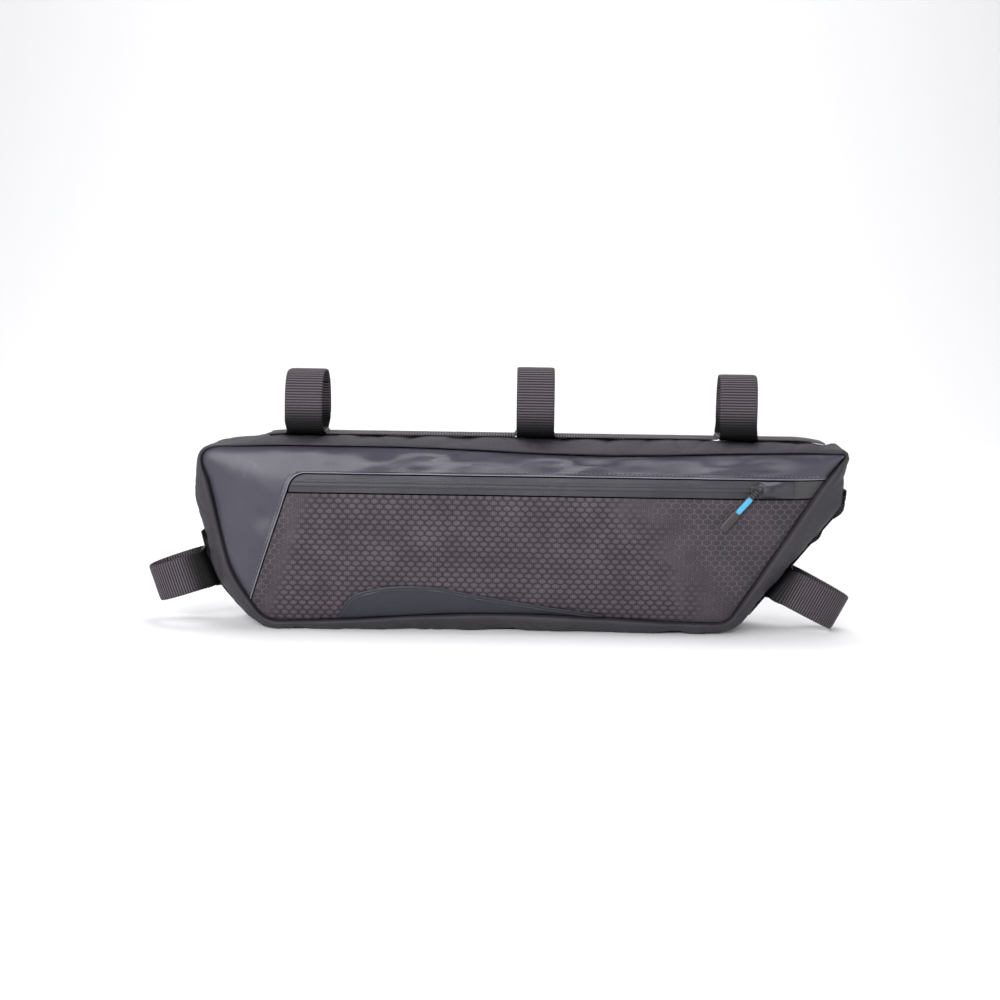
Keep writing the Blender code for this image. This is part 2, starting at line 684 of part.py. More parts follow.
def loop_line(height, count=44):
    """The strap's middle line in the loop's own plane, as (y, distance from the crown). It starts on the
    back, goes down, under the chain, up the front and over, and ends on the outside of its own start."""
    bottom = STRAP_GAP + STRAP_THICKNESS / 2
    half = LOOP_DEPTH / 2 - STRAP_THICKNESS / 2
    foot = CHAIN_WIDTH / 2 + STRAP_GAP

    def level(share):
        return bottom + share * (height - bottom)

    crossing = [(foot, bottom), (foot * 0.5, bottom), (0, bottom)]
    front = [(half * 0.97, level(0.09)), (half, level(0.30)), (half * 0.97, level(0.55)),
             (half * 0.84, level(0.78)), (half * 0.50, level(0.95)), (0, level(1))]
    back = front[::-1]
    lap = STRAP_THICKNESS + REST_GAP
    path = [(y, n, 0) for y, n in back if n <= level(STRAP_BEGINS)]
    path += [(y, n, 0) for y, n in crossing] + [(-y, n, 0) for y, n in crossing[-2::-1]]
    path += [(-y, n, 0) for y, n in front]
    lapped = [(y, n) for y, n in back[1:] if n >= level(STRAP_ENDS)]
    path += [(y, n, lap * min(1, (k + 1) / 1.5)) for k, (y, n) in enumerate(lapped)]
    y, n, outwards = np.array(path).T
    from_centre = np.stack([y, n - level(0.5)], axis=1)
    from_centre /= np.linalg.norm(from_centre, axis=1)[:, None]
    return smooth_line(np.stack([y, n], axis=1) + from_centre * outwards[:, None], count)


def smooth_line(points, count):
    """Points evenly spaced on a Catmull-Rom curve through the given ones."""
    ends = np.concatenate([[2 * points[0] - points[1]], points, [2 * points[-1] - points[-2]]])
    t = np.linspace(0, 1, 9)[:-1, None]
    pieces = []
    for p0, p1, p2, p3 in zip(ends, ends[1:], ends[2:], ends[3:]):
        pieces.append(0.5 * (2 * p1 + (p2 - p0) * t + (2 * p0 - 5 * p1 + 4 * p2 - p3) * t**2
                             + (3 * p1 - p0 - 3 * p2 + p3) * t**3))
    return along(np.concatenate(pieces + [points[-1:]]), np.linspace(0, 1, count))


def build_strap(row, chain):
    """One strap, closed into a loop whose end lies over its beginning."""
    here, way, out = (value[0] for value in crown_places(chain, row["place"]))
    line = loop_line(row["height"] * LOOP_HEIGHT)
    ahead = np.gradient(line, axis=0)
    ahead /= np.linalg.norm(ahead, axis=1)[:, None]
    normal = np.stack([-ahead[:, 1], ahead[:, 0]], axis=1)
    free = smooth_ramp((line[:, 1] - LEAN_FROM) / LEAN_RAMP)
    lean = math.radians(row["lean"]) * free
    twist = row["twist"] * WEBBING_WIDTH * free * line[:, 0] / LOOP_DEPTH
    grids = []
    for side in (1, -1):
        face = line + normal * side * STRAP_THICKNESS / 2
        edges = []
        for edge in (-1, 1):
            shift = edge * WEBBING_WIDTH / 2 + twist
            along_way = np.cos(lean) * shift + np.sin(lean) * face[:, 1]
            along_out = np.cos(lean) * face[:, 1] - np.sin(lean) * shift
            flat = here + along_way[:, None] * way + along_out[:, None] * out
            edges.append(in_world(flat, face[:, 0]))
        grids.append(np.stack(edges, axis=1))
    return shell(row["name"], grids[0], grids[1], "webbing")


def crown_rise(chain, place, length):
    """How far the crown's middle rises over a strap's straight width."""
    half = WEBBING_WIDTH / 2 / length
    before, middle, after = crown_places(chain, [place - half, place, place + half])[0]
    return np.linalg.norm(middle - (before + after) / 2)


def chain_lift(distance, chain, length):
    """How far the chain's underside stands off the crown: down at its tacks, bowed between them, and
    high enough where a strap passes under it."""
    tacks = np.array(chain["tacks"]) * length
    held = [row["place"] for row in rows_of(STRAP_COLUMNS, STRAPS) if row["chain"] == chain["name"]]
    lift = np.full_like(distance, REST_GAP)
    for first, last in zip(tacks[:-1], tacks[1:]):
        first, last = first + TACK_HALF, last - TACK_HALF
        if last <= first:
            continue
        inside = [place for place in held if first < place * length < last]
        if inside:
            bow = STRAP_THICKNESS + 2 * STRAP_GAP + crown_rise(chain, inside[0], length)
            ramp = BOW_RAMP
        else:
            bow, ramp = EMPTY_BOW * min(1, (last - first) / CHAIN_WIDTH), (last - first) / 2
        rise = smooth_ramp((distance - first) / ramp) * smooth_ramp((last - distance) / ramp)
        lift = np.maximum(lift, bow * rise)
    return lift


def smooth_ramp(value):
    value = np.clip(value, 0, 1)
    return value * value * (3 - 2 * value)


def build_chain(chain):
    """A length of webbing sewn down at its tacks, so that straps pass under it."""
    length = chain_length(chain)
    shares = np.linspace(0, 1, round(length / CHAIN_STEP) + 1)
    here, _, out = crown_places(chain, shares)
    lift = chain_lift(shares * length, chain, length)
    faces = []
    for height in (lift + CHAIN_THICKNESS, lift):
        flat = here + out * height[:, None]
        edges = [in_world(flat, np.full(len(flat), side * CHAIN_WIDTH / 2)) for side in (-1, 1)]
        faces.append(np.stack(edges, axis=1))
    return shell(chain["name"], faces[0], faces[1], "webbing")


def stand_on_origin():
    """Moves everything so that the footprint's middle is the origin."""
    corners = []
    for obj in bpy.data.objects:
        points = np.empty(len(obj.data.vertices) * 3)
        obj.data.vertices.foreach_get("co", points)
        points = points.reshape(-1, 3)
        corners += [points.min(0), points.max(0)]
    low, high = np.min(corners, axis=0), np.max(corners, axis=0)
    for obj in bpy.data.objects:
        obj.data.transform(Matrix.Translation((-(low[0] + high[0]) / 2, -(low[1] + high[1]) / 2, -low[2])))


clear_scene()
build_gusset()
build_back_panel()
build_wrap()
build_zip()
build_pocket()
build_patch()
build_hood()
build_slider()
build_pull()
chains = {chain["name"]: chain for chain in rows_of(CHAIN_COLUMNS, CHAINS)}
for strap in rows_of(STRAP_COLUMNS, STRAPS):
    build_strap(strap, chains[strap["chain"]])
for chain in chains.values():
    build_chain(chain)
stand_on_origin()
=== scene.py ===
import math

import bpy
import numpy as np
from mathutils import Matrix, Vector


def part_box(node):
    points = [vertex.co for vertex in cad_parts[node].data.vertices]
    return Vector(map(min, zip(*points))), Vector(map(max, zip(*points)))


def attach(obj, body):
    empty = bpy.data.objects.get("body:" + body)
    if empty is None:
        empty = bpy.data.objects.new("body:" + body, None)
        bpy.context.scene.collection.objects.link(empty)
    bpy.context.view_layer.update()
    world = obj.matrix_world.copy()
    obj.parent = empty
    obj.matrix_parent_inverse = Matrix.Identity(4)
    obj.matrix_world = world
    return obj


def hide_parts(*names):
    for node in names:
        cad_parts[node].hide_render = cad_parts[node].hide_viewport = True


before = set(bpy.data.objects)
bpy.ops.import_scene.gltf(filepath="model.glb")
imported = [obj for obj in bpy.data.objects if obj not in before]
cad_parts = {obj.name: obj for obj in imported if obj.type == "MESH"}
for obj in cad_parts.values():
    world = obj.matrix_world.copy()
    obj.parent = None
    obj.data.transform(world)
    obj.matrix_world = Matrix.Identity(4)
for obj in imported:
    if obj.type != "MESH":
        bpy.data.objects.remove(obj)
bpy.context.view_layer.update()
mm = 0.001
print("frame:", len(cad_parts), "nodes")

# the bag's own outline, in metres, with x along the seam and z up from its lower line
bagShape = {
    "length": 432.5 * mm, "height": 118 * mm, "depth": 52 * mm,
    "endTaper": 0.2, "taperLength": 60 * mm, "cornerRounding": 20 * mm,
    "topSag": 3.6 * mm, "topSagPlace": 0.62, "topSagReach": 0.33,
    "baseArch": 6.2 * mm, "baseArchPlace": 0.465, "baseArchReach": 0.36, "baseRest": 6.2 * mm,
    "bulge": 12 * mm, "lip": 2.4 * mm, "standSmoothing": 8 * mm,
    "panelBulge": 9 * mm, "panelRounding": 15 * mm, "sewingGap": 0.5 * mm,
}
size = np.array([bagShape["length"], bagShape["height"]])
# name, x and z as shares of the size, rounding, how far the crown stands out, steps in arc and edge
corners = [
    ("baseRear", 0.106, 0.000, 0.55, 0.71, 4, 17),
    ("baseFront", 0.822, 0.025, 0.35, 0.85, 4, 9),
    ("frontShoulder", 0.962, 0.835, 0.40, 1.92, 2, 3),
    ("frontTip", 1.000, 0.996, 0.25, 0.12, 4, 3),
    ("topFront", 0.943, 0.998, 0.50, 0.52, 2, 20),
    ("topRear", 0.1225, 1.000, 0.80, 0.48, 2, 4),
    ("rearTop", -0.003, 0.980, 0.90, 0.04, 5, 2),
    ("rearShoulder", 0.0205, 0.800, 0.25, 1.22, 2, 4),
    ("rearKnee", 0.053, 0.292, 0.70, 1.20, 3, 4),
]


def smoothRamp(value):  # 3t^2 - 2t^3 of a value held between 0 and 1
    value = np.clip(value, 0, 1)
    return value * value * (3 - 2 * value)


def hump(share, middle, reach):  # cosine squared bell, 1 at the middle and 0 at its reach
    return np.cos(np.clip(np.abs(share - middle) / reach, 0, 1) * math.pi / 2) ** 2


def unit(vectors):
    return vectors / np.maximum(np.linalg.norm(vectors, axis=-1, keepdims=True), 1e-12)


def runOf(line):  # distance along a line at each of its points
    return np.concatenate([[0], np.cumsum(np.linalg.norm(np.diff(line, axis=0), axis=1))])


def along(line, shares):  # points at these shares of a line's length
    run = runOf(line)
    wanted = np.asarray(shares) * run[-1]
    return np.stack([np.interp(wanted, run, line[:, k]) for k in range(line.shape[1])], axis=-1)


def outlines(fineness):
    # seam = straight edges joined by quadratic curves; crown = seam + outward normal x smoothed stand
    points, middles = [], []
    place = np.array([(c[1], c[2]) for c in corners]) * size
    reach = [c[3] * bagShape["cornerRounding"] for c in corners]
    ahead = unit(np.roll(place, -1, axis=0) - place)
    for k, corner in enumerate(corners):
        before, after = place[k] - ahead[k - 1] * reach[k], place[k] + ahead[k] * reach[k]
        t = np.linspace(0, 1, corner[5] * fineness + 1)[:, None]
        middles.append(len(points) + corner[5] * fineness // 2)
        points.extend((1 - t) ** 2 * before + 2 * t * (1 - t) * place[k] + t**2 * after)
        following = (k + 1) % len(corners)
        endsAt = place[following] - ahead[k] * reach[following]
        for share in np.linspace(0, 1, corner[6] * fineness + 1)[1:-1]:
            points.append(after + (endsAt - after) * share)
    seam = np.array(points)
    steps = np.linalg.norm(np.roll(seam, -1, axis=0) - seam, axis=1)
    run = np.concatenate([[0], np.cumsum(steps)[:-1]])
    stands = [c[4] * bagShape["bulge"] for c in corners]
    stand = np.mean([np.interp(run + shift * bagShape["standSmoothing"], run[middles], stands,
                               period=steps.sum()) for shift in (-1, -0.5, 0, 0.5, 1)], axis=0)
    way = unit(np.roll(seam, -1, axis=0) - np.roll(seam, 1, axis=0))
    crown = seam + np.stack([way[:, 1], -way[:, 0]], axis=1) * stand[:, None]
    share, height = seam[:, 0] / size[0], np.clip(seam[:, 1] / size[1], 0, 1)
    sag = bagShape["topSag"] * hump(share, bagShape["topSagPlace"], bagShape["topSagReach"])
    arch = bagShape["baseArch"] * hump(share, bagShape["baseArchPlace"], bagShape["baseArchReach"])
    seam[:, 1] -= sag * height**4
    seam[:, 1] += arch * (1 - height) ** 4
    return seam, crown, {c[0]: middle for c, middle in zip(corners, middles)}


def inset(line, distance):  # a closed outline moved inwards by a distance
    ahead = unit(np.roll(line, -1, axis=0) - line)
    inwards = unit(np.stack([-(ahead + np.roll(ahead, 1, axis=0))[:, 1],
                             (ahead + np.roll(ahead, 1, axis=0))[:, 0]], axis=1))
    mitre = 1 / np.clip((inwards * np.stack([-ahead[:, 1], ahead[:, 0]], axis=1)).sum(1), 0.5, 1)
    return line + inwards * (distance * mitre)[:, None]


def stretch(line, first, last):  # the points of a closed line between two indices
    last += len(line) if last < first else 0
    return line[np.arange(first, last + 1) % len(line)]


coarseSeam, coarseCrown = outlines(1)[:2]
fineSeam, fineCrown, fineAt = outlines(8)
panelEdge = inset(fineSeam, bagShape["sewingGap"])
gussetLow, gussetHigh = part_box("gusset")
toWorld = np.array([gussetLow.x - min(coarseSeam[:, 0].min(), coarseCrown[:, 0].min()),
                    (gussetLow.y + gussetHigh.y) / 2, gussetLow.z + bagShape["baseRest"]])


def panelSide(start, end):
    return stretch(panelEdge, fineAt[start], fineAt[end])


def distanceFromSeam(flat):
    # sqrt(2 / sum over the seam of its length over the cube of the distance): true by a straight seam
    shape = flat.shape[:-1]
    points = flat.reshape(-1, 1, 2)
    start = coarseSeam[None]
    edge = np.roll(coarseSeam, -1, axis=0)[None] - start
    length = np.linalg.norm(edge, axis=-1)
    total = np.empty(len(points))
    atOnce = 8000  # points worked out together, which spares memory
    for first in range(0, len(points), atOnce):
        fromStart = points[first:first + atOnce] - start
        s0 = -(fromStart * edge / length[..., None]).sum(-1)
        s1 = s0 + length
        square = np.maximum((fromStart**2).sum(-1) - s0**2, 1e-12)
        swept = s1 / np.sqrt(square + s1**2) - s0 / np.sqrt(square + s0**2)
        total[first:first + atOnce] = (swept / square).sum(-1)
    return np.sqrt(2 / total).reshape(shape)


def ripples(points, wave, seed, count=14):
    # mean of sines with random ways, phases and waves near the given one: soft cloth unevenness, -1 to 1
    rng = np.random.default_rng(seed)
    total = np.zeros(points.shape[:-1])
    for _ in range(count):
        way = unit(rng.normal(size=points.shape[-1]))
        length = wave * rng.uniform(0.6, 1.6)
        total += np.sin(points @ way * (2 * math.pi / length) + rng.uniform(0, 2 * math.pi))
    return total / math.sqrt(count)


# folds of the front panel: from and to in shares of the size, half width and depth in millimetres
panelFolds = [
    (0.395, 0.62, 0.50, 0.16, 8.2, 1.8),
    (0.42, 0.44, 0.47, 0.20, 6.0, -1.2),
    (0.60, 0.52, 0.63, 0.14, 8.2, 1.2),
    (0.725, 0.30, 0.70, 0.08, 6.0, 1.4),
    (0.03, 0.86, 0.11, 0.62, 11.0, 1.8),
    (0.12, 0.93, 0.22, 0.88, 6.0, 1.6),
    (0.30, 0.95, 0.36, 0.88, 6.0, 1.2),
    (0.52, 0.92, 0.56, 0.88, 5.0, 1.3),
    (0.72, 0.94, 0.76, 0.87, 6.0, 1.4),
]


def foldDepth(flat, folds):  # a bell across each fold: depth x exp(-(across^2 + past its ends^2) / width^2)
    total = np.zeros(flat.shape[:-1])
    for x0, z0, x1, z1, width, depth in folds:
        start = np.array([x0, z0]) * size
        way = np.array([x1, z1]) * size - start
        length = np.linalg.norm(way)
        way = way / length
        run = (flat - start) @ way
        past = np.maximum(np.maximum(-run, run - length), 0)
        side = (flat - start) @ np.array([-way[1], way[0]])
        total += depth * mm * np.exp(-(side**2 + past**2) / (width * mm) ** 2)
    return total


def halfDepth(x):  # half the depth at the seam, narrower towards both ends
    reach = bagShape["taperLength"]
    intoEnd = np.maximum(reach - x, x - (size[0] - reach)) / reach
    return bagShape["depth"] / 2 * (1 - bagShape["endTaper"] * np.maximum(intoEnd, 0) ** 2)


def riseOf(flat):  # 0 at the seam, 1 well inside: 1 - exp(-distance / rounding)
    return 1 - np.exp(-distanceFromSeam(flat) / bagShape["panelRounding"])


# lobes of the taut strip above the zip: its middle and half width are in millimetres below the seam's
# top, and each wave has its share, its count along the bag, its shift and its slant
bandMake = {
    "depth": 1.9 * mm, "middle": 10.0, "halfWidth": 4.6, "fromSeam": 7 * mm, "begins": 0.15, "ramp": 0.06,
    "waves": ((0.6, 5.6, 0.28, 0.0), (0.4, 9.7, -0.31, 0.12)),
}


def bandDents(flat):  # depth x a bell across the strip x a sum of two sines along it, held at the seam
    down = (size[1] - flat[..., 1]) / mm
    x = flat[..., 0] / size[0]
    wavy = sum(share * np.sin(2 * math.pi * (x * count + shift) + down * slant)
               for share, count, shift, slant in bandMake["waves"])
    held = smoothRamp(distanceFromSeam(flat) / bandMake["fromSeam"])
    held = held * smoothRamp((x - bandMake["begins"]) / bandMake["ramp"])
    bell = np.exp(-((down - bandMake["middle"]) / bandMake["halfWidth"]) ** 2)
    return bell * wavy * held * bandMake["depth"]


# wave, seed and depth of the two ripples on each side, and how the front is rolled in beside the seam
slackMake = {
    "front": ((38 * mm, 3, 0.36 * mm), (14 * mm, 4, 0.09 * mm)),
    "back": ((60 * mm, 8, 0.7 * mm), (22 * mm, 9, 0.16 * mm)),
    "rolledIn": 0.9 * mm, "rolledReach": 1.6 * mm,
}


def slackOf(flat, side):
    return sum(ripples(flat, wave, seed) * depth for wave, seed, depth in slackMake[side])


def frontFace(flat, lift=0.0):
    # -(half depth + bulge x rise - rolled in - (folds + slack) x rise squared - dents + lift)
    rise = riseOf(flat)
    rolled = slackMake["rolledIn"] * np.exp(-distanceFromSeam(flat) / slackMake["rolledReach"])
    return -(halfDepth(flat[..., 0]) + bagShape["panelBulge"] * rise - rolled
             - (foldDepth(flat, panelFolds) + slackOf(flat, "front")) * rise**2 - bandDents(flat) + lift)


def backFace(flat):  # half depth + bulge x rise - slack x rise squared
    rise = riseOf(flat)
    return halfDepth(flat[..., 0]) + bagShape["panelBulge"] * rise - slackOf(flat, "back") * rise**2


def onFace(flat, depth):  # x and z from the flat outline, y from the depth
    return np.stack([flat[..., 0], depth, flat[..., 1]], axis=-1)


def ruled(first, second, shares):  # a grid between two lines: first x (1 - share) + second x share
    shares = np.asarray(shares)[None, :, None]
    return first[:, None, :] * (1 - shares) + second[:, None, :] * shares


def coons(bottom, top, left, right):  # a grid inside four lines: both ruled grids, less the corners' one
    u = np.linspace(0, 1, len(bottom))[:, None, None]
    v = np.linspace(0, 1, len(left))[None, :, None]
    between = (1 - v) * bottom[:, None] + v * top[:, None] + (1 - u) * left[None] + u * right[None]
    ends = (1 - u) * ((1 - v) * bottom[0] + v * top[0]) + u * ((1 - v) * bottom[-1] + v * top[-1])
    return between - ends


def eased(count, amount=1.0):  # shares from 0 to 1, closer together at both ends
    even = np.linspace(0, 1, count)
    return even * (1 - amount) + (1 - np.cos(even * math.pi)) / 2 * amount


# meshes
def meshOf(name, points, quads, uv, finish, smoothAngle=55):
    # points, faces and the cloth's own coordinates, in centimetres, put into a mesh as whole arrays
    points = points.reshape(-1, 3) + toWorld
    tri = points[quads[:, [0, 1, 2]]], points[quads[:, [0, 2, 3]]]
    volume = sum(np.einsum("ij,ij->", t[:, 0], np.cross(t[:, 1], t[:, 2])) for t in tri)
    if volume < 0:
        quads = quads[:, ::-1]
    mesh = bpy.data.meshes.new(name)
    mesh.vertices.add(len(points))
    mesh.vertices.foreach_set("co", points.astype(np.float32).ravel())
    mesh.loops.add(quads.size)
    mesh.loops.foreach_set("vertex_index", quads.astype(np.int32).ravel())
    mesh.polygons.add(len(quads))
    mesh.polygons.foreach_set("loop_start", np.arange(0, quads.size, 4, dtype=np.int32))
    mesh.update(calc_edges=True)
    layer = mesh.uv_layers.new(name="cloth")
    layer.data.foreach_set("uv", (uv.reshape(-1, 2) * 100)[quads.ravel()].astype(np.float32).ravel())
    mesh.validate()
    mesh.shade_smooth()
    mesh.set_sharp_from_angle(angle=math.radians(smoothAngle))
    mesh.materials.append(finish)
    piece = bpy.data.objects.new(name, mesh)
    bpy.context.scene.collection.objects.link(piece)
    return piece


def wallQuads(rows, columns, ring, base=0):
    # the faces of a wall between two grids: both sides and the strips that close its edges
    i, j = np.meshgrid(np.arange(rows if ring else rows - 1), np.arange(columns - 1), indexing="ij")
    layer = rows * columns

    def at(i, j, side):
        return base + side * layer + (i % rows) * columns + j

    quads = [np.stack([at(i, j, 0), at(i + 1, j, 0), at(i + 1, j + 1, 0), at(i, j + 1, 0)], -1),
             np.stack([at(i, j, 1), at(i, j + 1, 1), at(i + 1, j + 1, 1), at(i + 1, j, 1)], -1)]
    quads = [grid.reshape(-1, 4) for grid in quads]
    i = np.arange(rows if ring else rows - 1)
    for j, flip in ((0, False), (columns - 1, True)):
        strip = np.stack([at(i, j, 0), at(i, j, 1), at(i + 1, j, 1), at(i + 1, j, 0)], -1)
        quads.append(strip[:, ::-1] if flip else strip)
    if not ring:
        j = np.arange(columns - 1)
        for i, flip in ((0, False), (rows - 1, True)):
            strip = np.stack([at(i, j, 0), at(i, j + 1, 0), at(i, j + 1, 1), at(i, j, 1)], -1)
            quads.append(strip[:, ::-1] if flip else strip)
    return np.concatenate(quads)


def wall(name, outer, inner, uv, finish, ring=False, smoothAngle=55):  # a closed wall between two grids
    points = np.concatenate([outer.reshape(-1, 3), inner.reshape(-1, 3)])
    both = np.concatenate([uv.reshape(-1, 2)] * 2)
    return meshOf(name, points, wallQuads(*outer.shape[:2], ring), both, finish, smoothAngle)


def tubes(name, centres, sides, ups, halfWidth, halfHeight, finish, around=8):
    # many short closed tubes at once: centre + side x a cos(angle) + up x b sin(angle), ends drawn in
    count, rings = centres.shape[:2]
    angle = np.arange(around) * (2 * math.pi / around)
    a = np.broadcast_to(halfWidth, (count, rings))[..., None, None]
    b = np.broadcast_to(halfHeight, (count, rings))[..., None, None]
    points = (centres[:, :, None] + sides[:, :, None] * a * np.cos(angle)[:, None]
              + ups[:, :, None] * b * np.sin(angle)[:, None])
    k, r, s = np.meshgrid(np.arange(count), np.arange(rings - 1), np.arange(around), indexing="ij")
    base = k * rings * around
    following = (s + 1) % around
    quads = np.stack([base + r * around + s, base + r * around + following,
                      base + (r + 1) * around + following, base + (r + 1) * around + s], -1).reshape(-1, 4)
    caps = []
    for ring, flip in ((0, True), (rings - 1, False)):
        first = (np.arange(count) * rings * around + ring * around)[:, None]
        for s in range(1, around - 2, 2):
            cap = np.concatenate([first, first + s, first + s + 1, first + s + 2], axis=1)
            caps.append(cap[:, ::-1] if flip else cap)
    run = np.broadcast_to(np.linspace(0, 1, rings)[None, :, None] * 3 * mm, (count, rings, around))
    turn = np.broadcast_to(angle / (2 * math.pi) * 3 * mm, (count, rings, around))
    return meshOf(name, points, np.concatenate([quads] + caps), np.stack([run, turn], -1), finish, 80)


def keep(piece, slot, *nodes):  # the piece is attached to the root body and the frame's parts that it stands for are hidden
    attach(piece, "root")
    if nodes:
        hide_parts(*nodes)
    return piece


def panelPiece(name, flat, face, thickness, finish, slot, node):  # cloth lying on a face of the bag
    outer, inner = onFace(flat, face), onFace(flat, face + thickness)
    return keep(wall(name, outer, inner, flat, finish), slot, node)


# finishes
class Sock:  # a socket that can be added, multiplied and so on; each use adds its Math node
    def __init__(self, tree, socket):
        self.tree, self.socket = tree, socket

    def __add__(self, other):
        return self.tree.maths("ADD", self, other)

    def __radd__(self, other):
        return self.tree.maths("ADD", other, self)

    def __sub__(self, other):
        return self.tree.maths("SUBTRACT", self, other)

    def __rsub__(self, other):
        return self.tree.maths("SUBTRACT", other, self)

    def __mul__(self, other):
        return self.tree.maths("MULTIPLY", self, other)

    def __rmul__(self, other):
        return self.tree.maths("MULTIPLY", other, self)

    def __truediv__(self, other):
        return self.tree.maths("DIVIDE", self, other)

    def __pow__(self, other):
        return self.tree.maths("POWER", self, other)


class Tree:  # the nodes of one material
    def __init__(self, name):
        self.material = bpy.data.materials.new(name)
        self.material.use_nodes = True
        self.nodes, self.links = self.material.node_tree.nodes, self.material.node_tree.links
        self.shader = self.nodes["Principled BSDF"]

    def node(self, kind, settings=None, sockets=None, output=0):
        made = self.nodes.new(kind)
        for name, value in (settings or {}).items():
            setattr(made, name, value)
        for name, value in (sockets or {}).items():
            self.feed(made.inputs[name], value)
        return Sock(self, made.outputs[output])

    def feed(self, socket, value):
        if isinstance(value, Sock):
            self.links.new(value.socket, socket)
        else:
            socket.default_value = value

    def maths(self, operation, a, b=0.0, c=0.0):
        return self.node("ShaderNodeMath", {"operation": operation}, {0: a, 1: b, 2: c})

    def least(self, a, b):
        return self.maths("MINIMUM", a, b)

    def most(self, a, b):
        return self.maths("MAXIMUM", a, b)

    def size(self, a):
        return self.maths("ABSOLUTE", a)

    def wave(self, value, pitch):  # -1 to 1, one crest every pitch
        return self.maths("SINE", value * (2 * math.pi / pitch))

    def step(self, value, low, high):  # smooth 0 to 1 from low to high
        return self.node("ShaderNodeMapRange", {"interpolation_type": "SMOOTHSTEP"},
                         {"Value": value, "From Min": low, "From Max": high})

    def uv(self):  # the cloth's own coordinates, in centimetres
        vector = self.node("ShaderNodeUVMap", {"uv_map": "cloth"})
        return vector, self.axis(vector, 0), self.axis(vector, 1)

    def axis(self, vector, which):
        return self.node("ShaderNodeSeparateXYZ", {}, {0: vector}, output=which)

    def place(self):
        return self.node("ShaderNodeTexCoord", output=3)

    def noise(self, vector, scale, detail=3.0, rough=0.5):
        return self.node("ShaderNodeTexNoise", {}, {"Vector": vector, "Scale": scale, "Detail": detail,
                                                    "Roughness": rough})

    def mix(self, factor, a, b):
        return self.node("ShaderNodeMix", {"data_type": "RGBA"}, {0: factor, 6: a, 7: b}, output=2)

    def bump(self, height, distance):
        sockets = {"Strength": 1.0, "Distance": distance, "Height": height}
        self.feed(self.shader.inputs["Normal"], self.node("ShaderNodeBump", {}, sockets))

    def finish(self, **values):
        for name, value in values.items():
            self.feed(self.shader.inputs[name.replace("_", " ")], value)
        return self.material


def colour(red, green, blue):
    return (red, green, blue, 1.0)


coatedLook = {
    "colour": (0.023, 0.0215, 0.033), "dusty": (0.046, 0.043, 0.062), "rough": 0.24, "grainPitch": 0.055,
}


def coatedFinish(name, look):
    t = Tree(name)
    vector, u, v = t.uv()
    cloudy = t.noise(t.place(), 28, 4, 0.55)
    grain = t.wave(u + v, look["grainPitch"]) * t.wave(u - v, look["grainPitch"])
    fine = t.noise(vector, 26, 3, 0.6)
    t.bump(grain * 0.25 + fine * 1.2 + t.noise(vector, 5, 2, 0.5) * 1.6, 0.06 * mm)
    return t.finish(Base_Color=t.mix(cloudy, colour(*look["colour"]), colour(*look["dusty"])),
                    Roughness=look["rough"] + (cloudy - 0.5) * 0.16 + (fine - 0.5) * 0.06,
                    Specular_IOR_Level=0.5)


# the light outline colour is a painted glint on the outline yarns, towards the front end of the pocket and at
# its rear end
ripstopLook = {
    "hexPitch": 0.6, "squash": 0.664, "cell": (0.060, 0.047, 0.058), "line": (0.014, 0.011, 0.015),
    "glintLine": (0.110, 0.096, 0.116), "glintFrom": 32.0, "glintTo": 38.0, "rough": 0.62,
    "rearGlintFrom": 5.6, "rearGlintTo": 3.4,
}


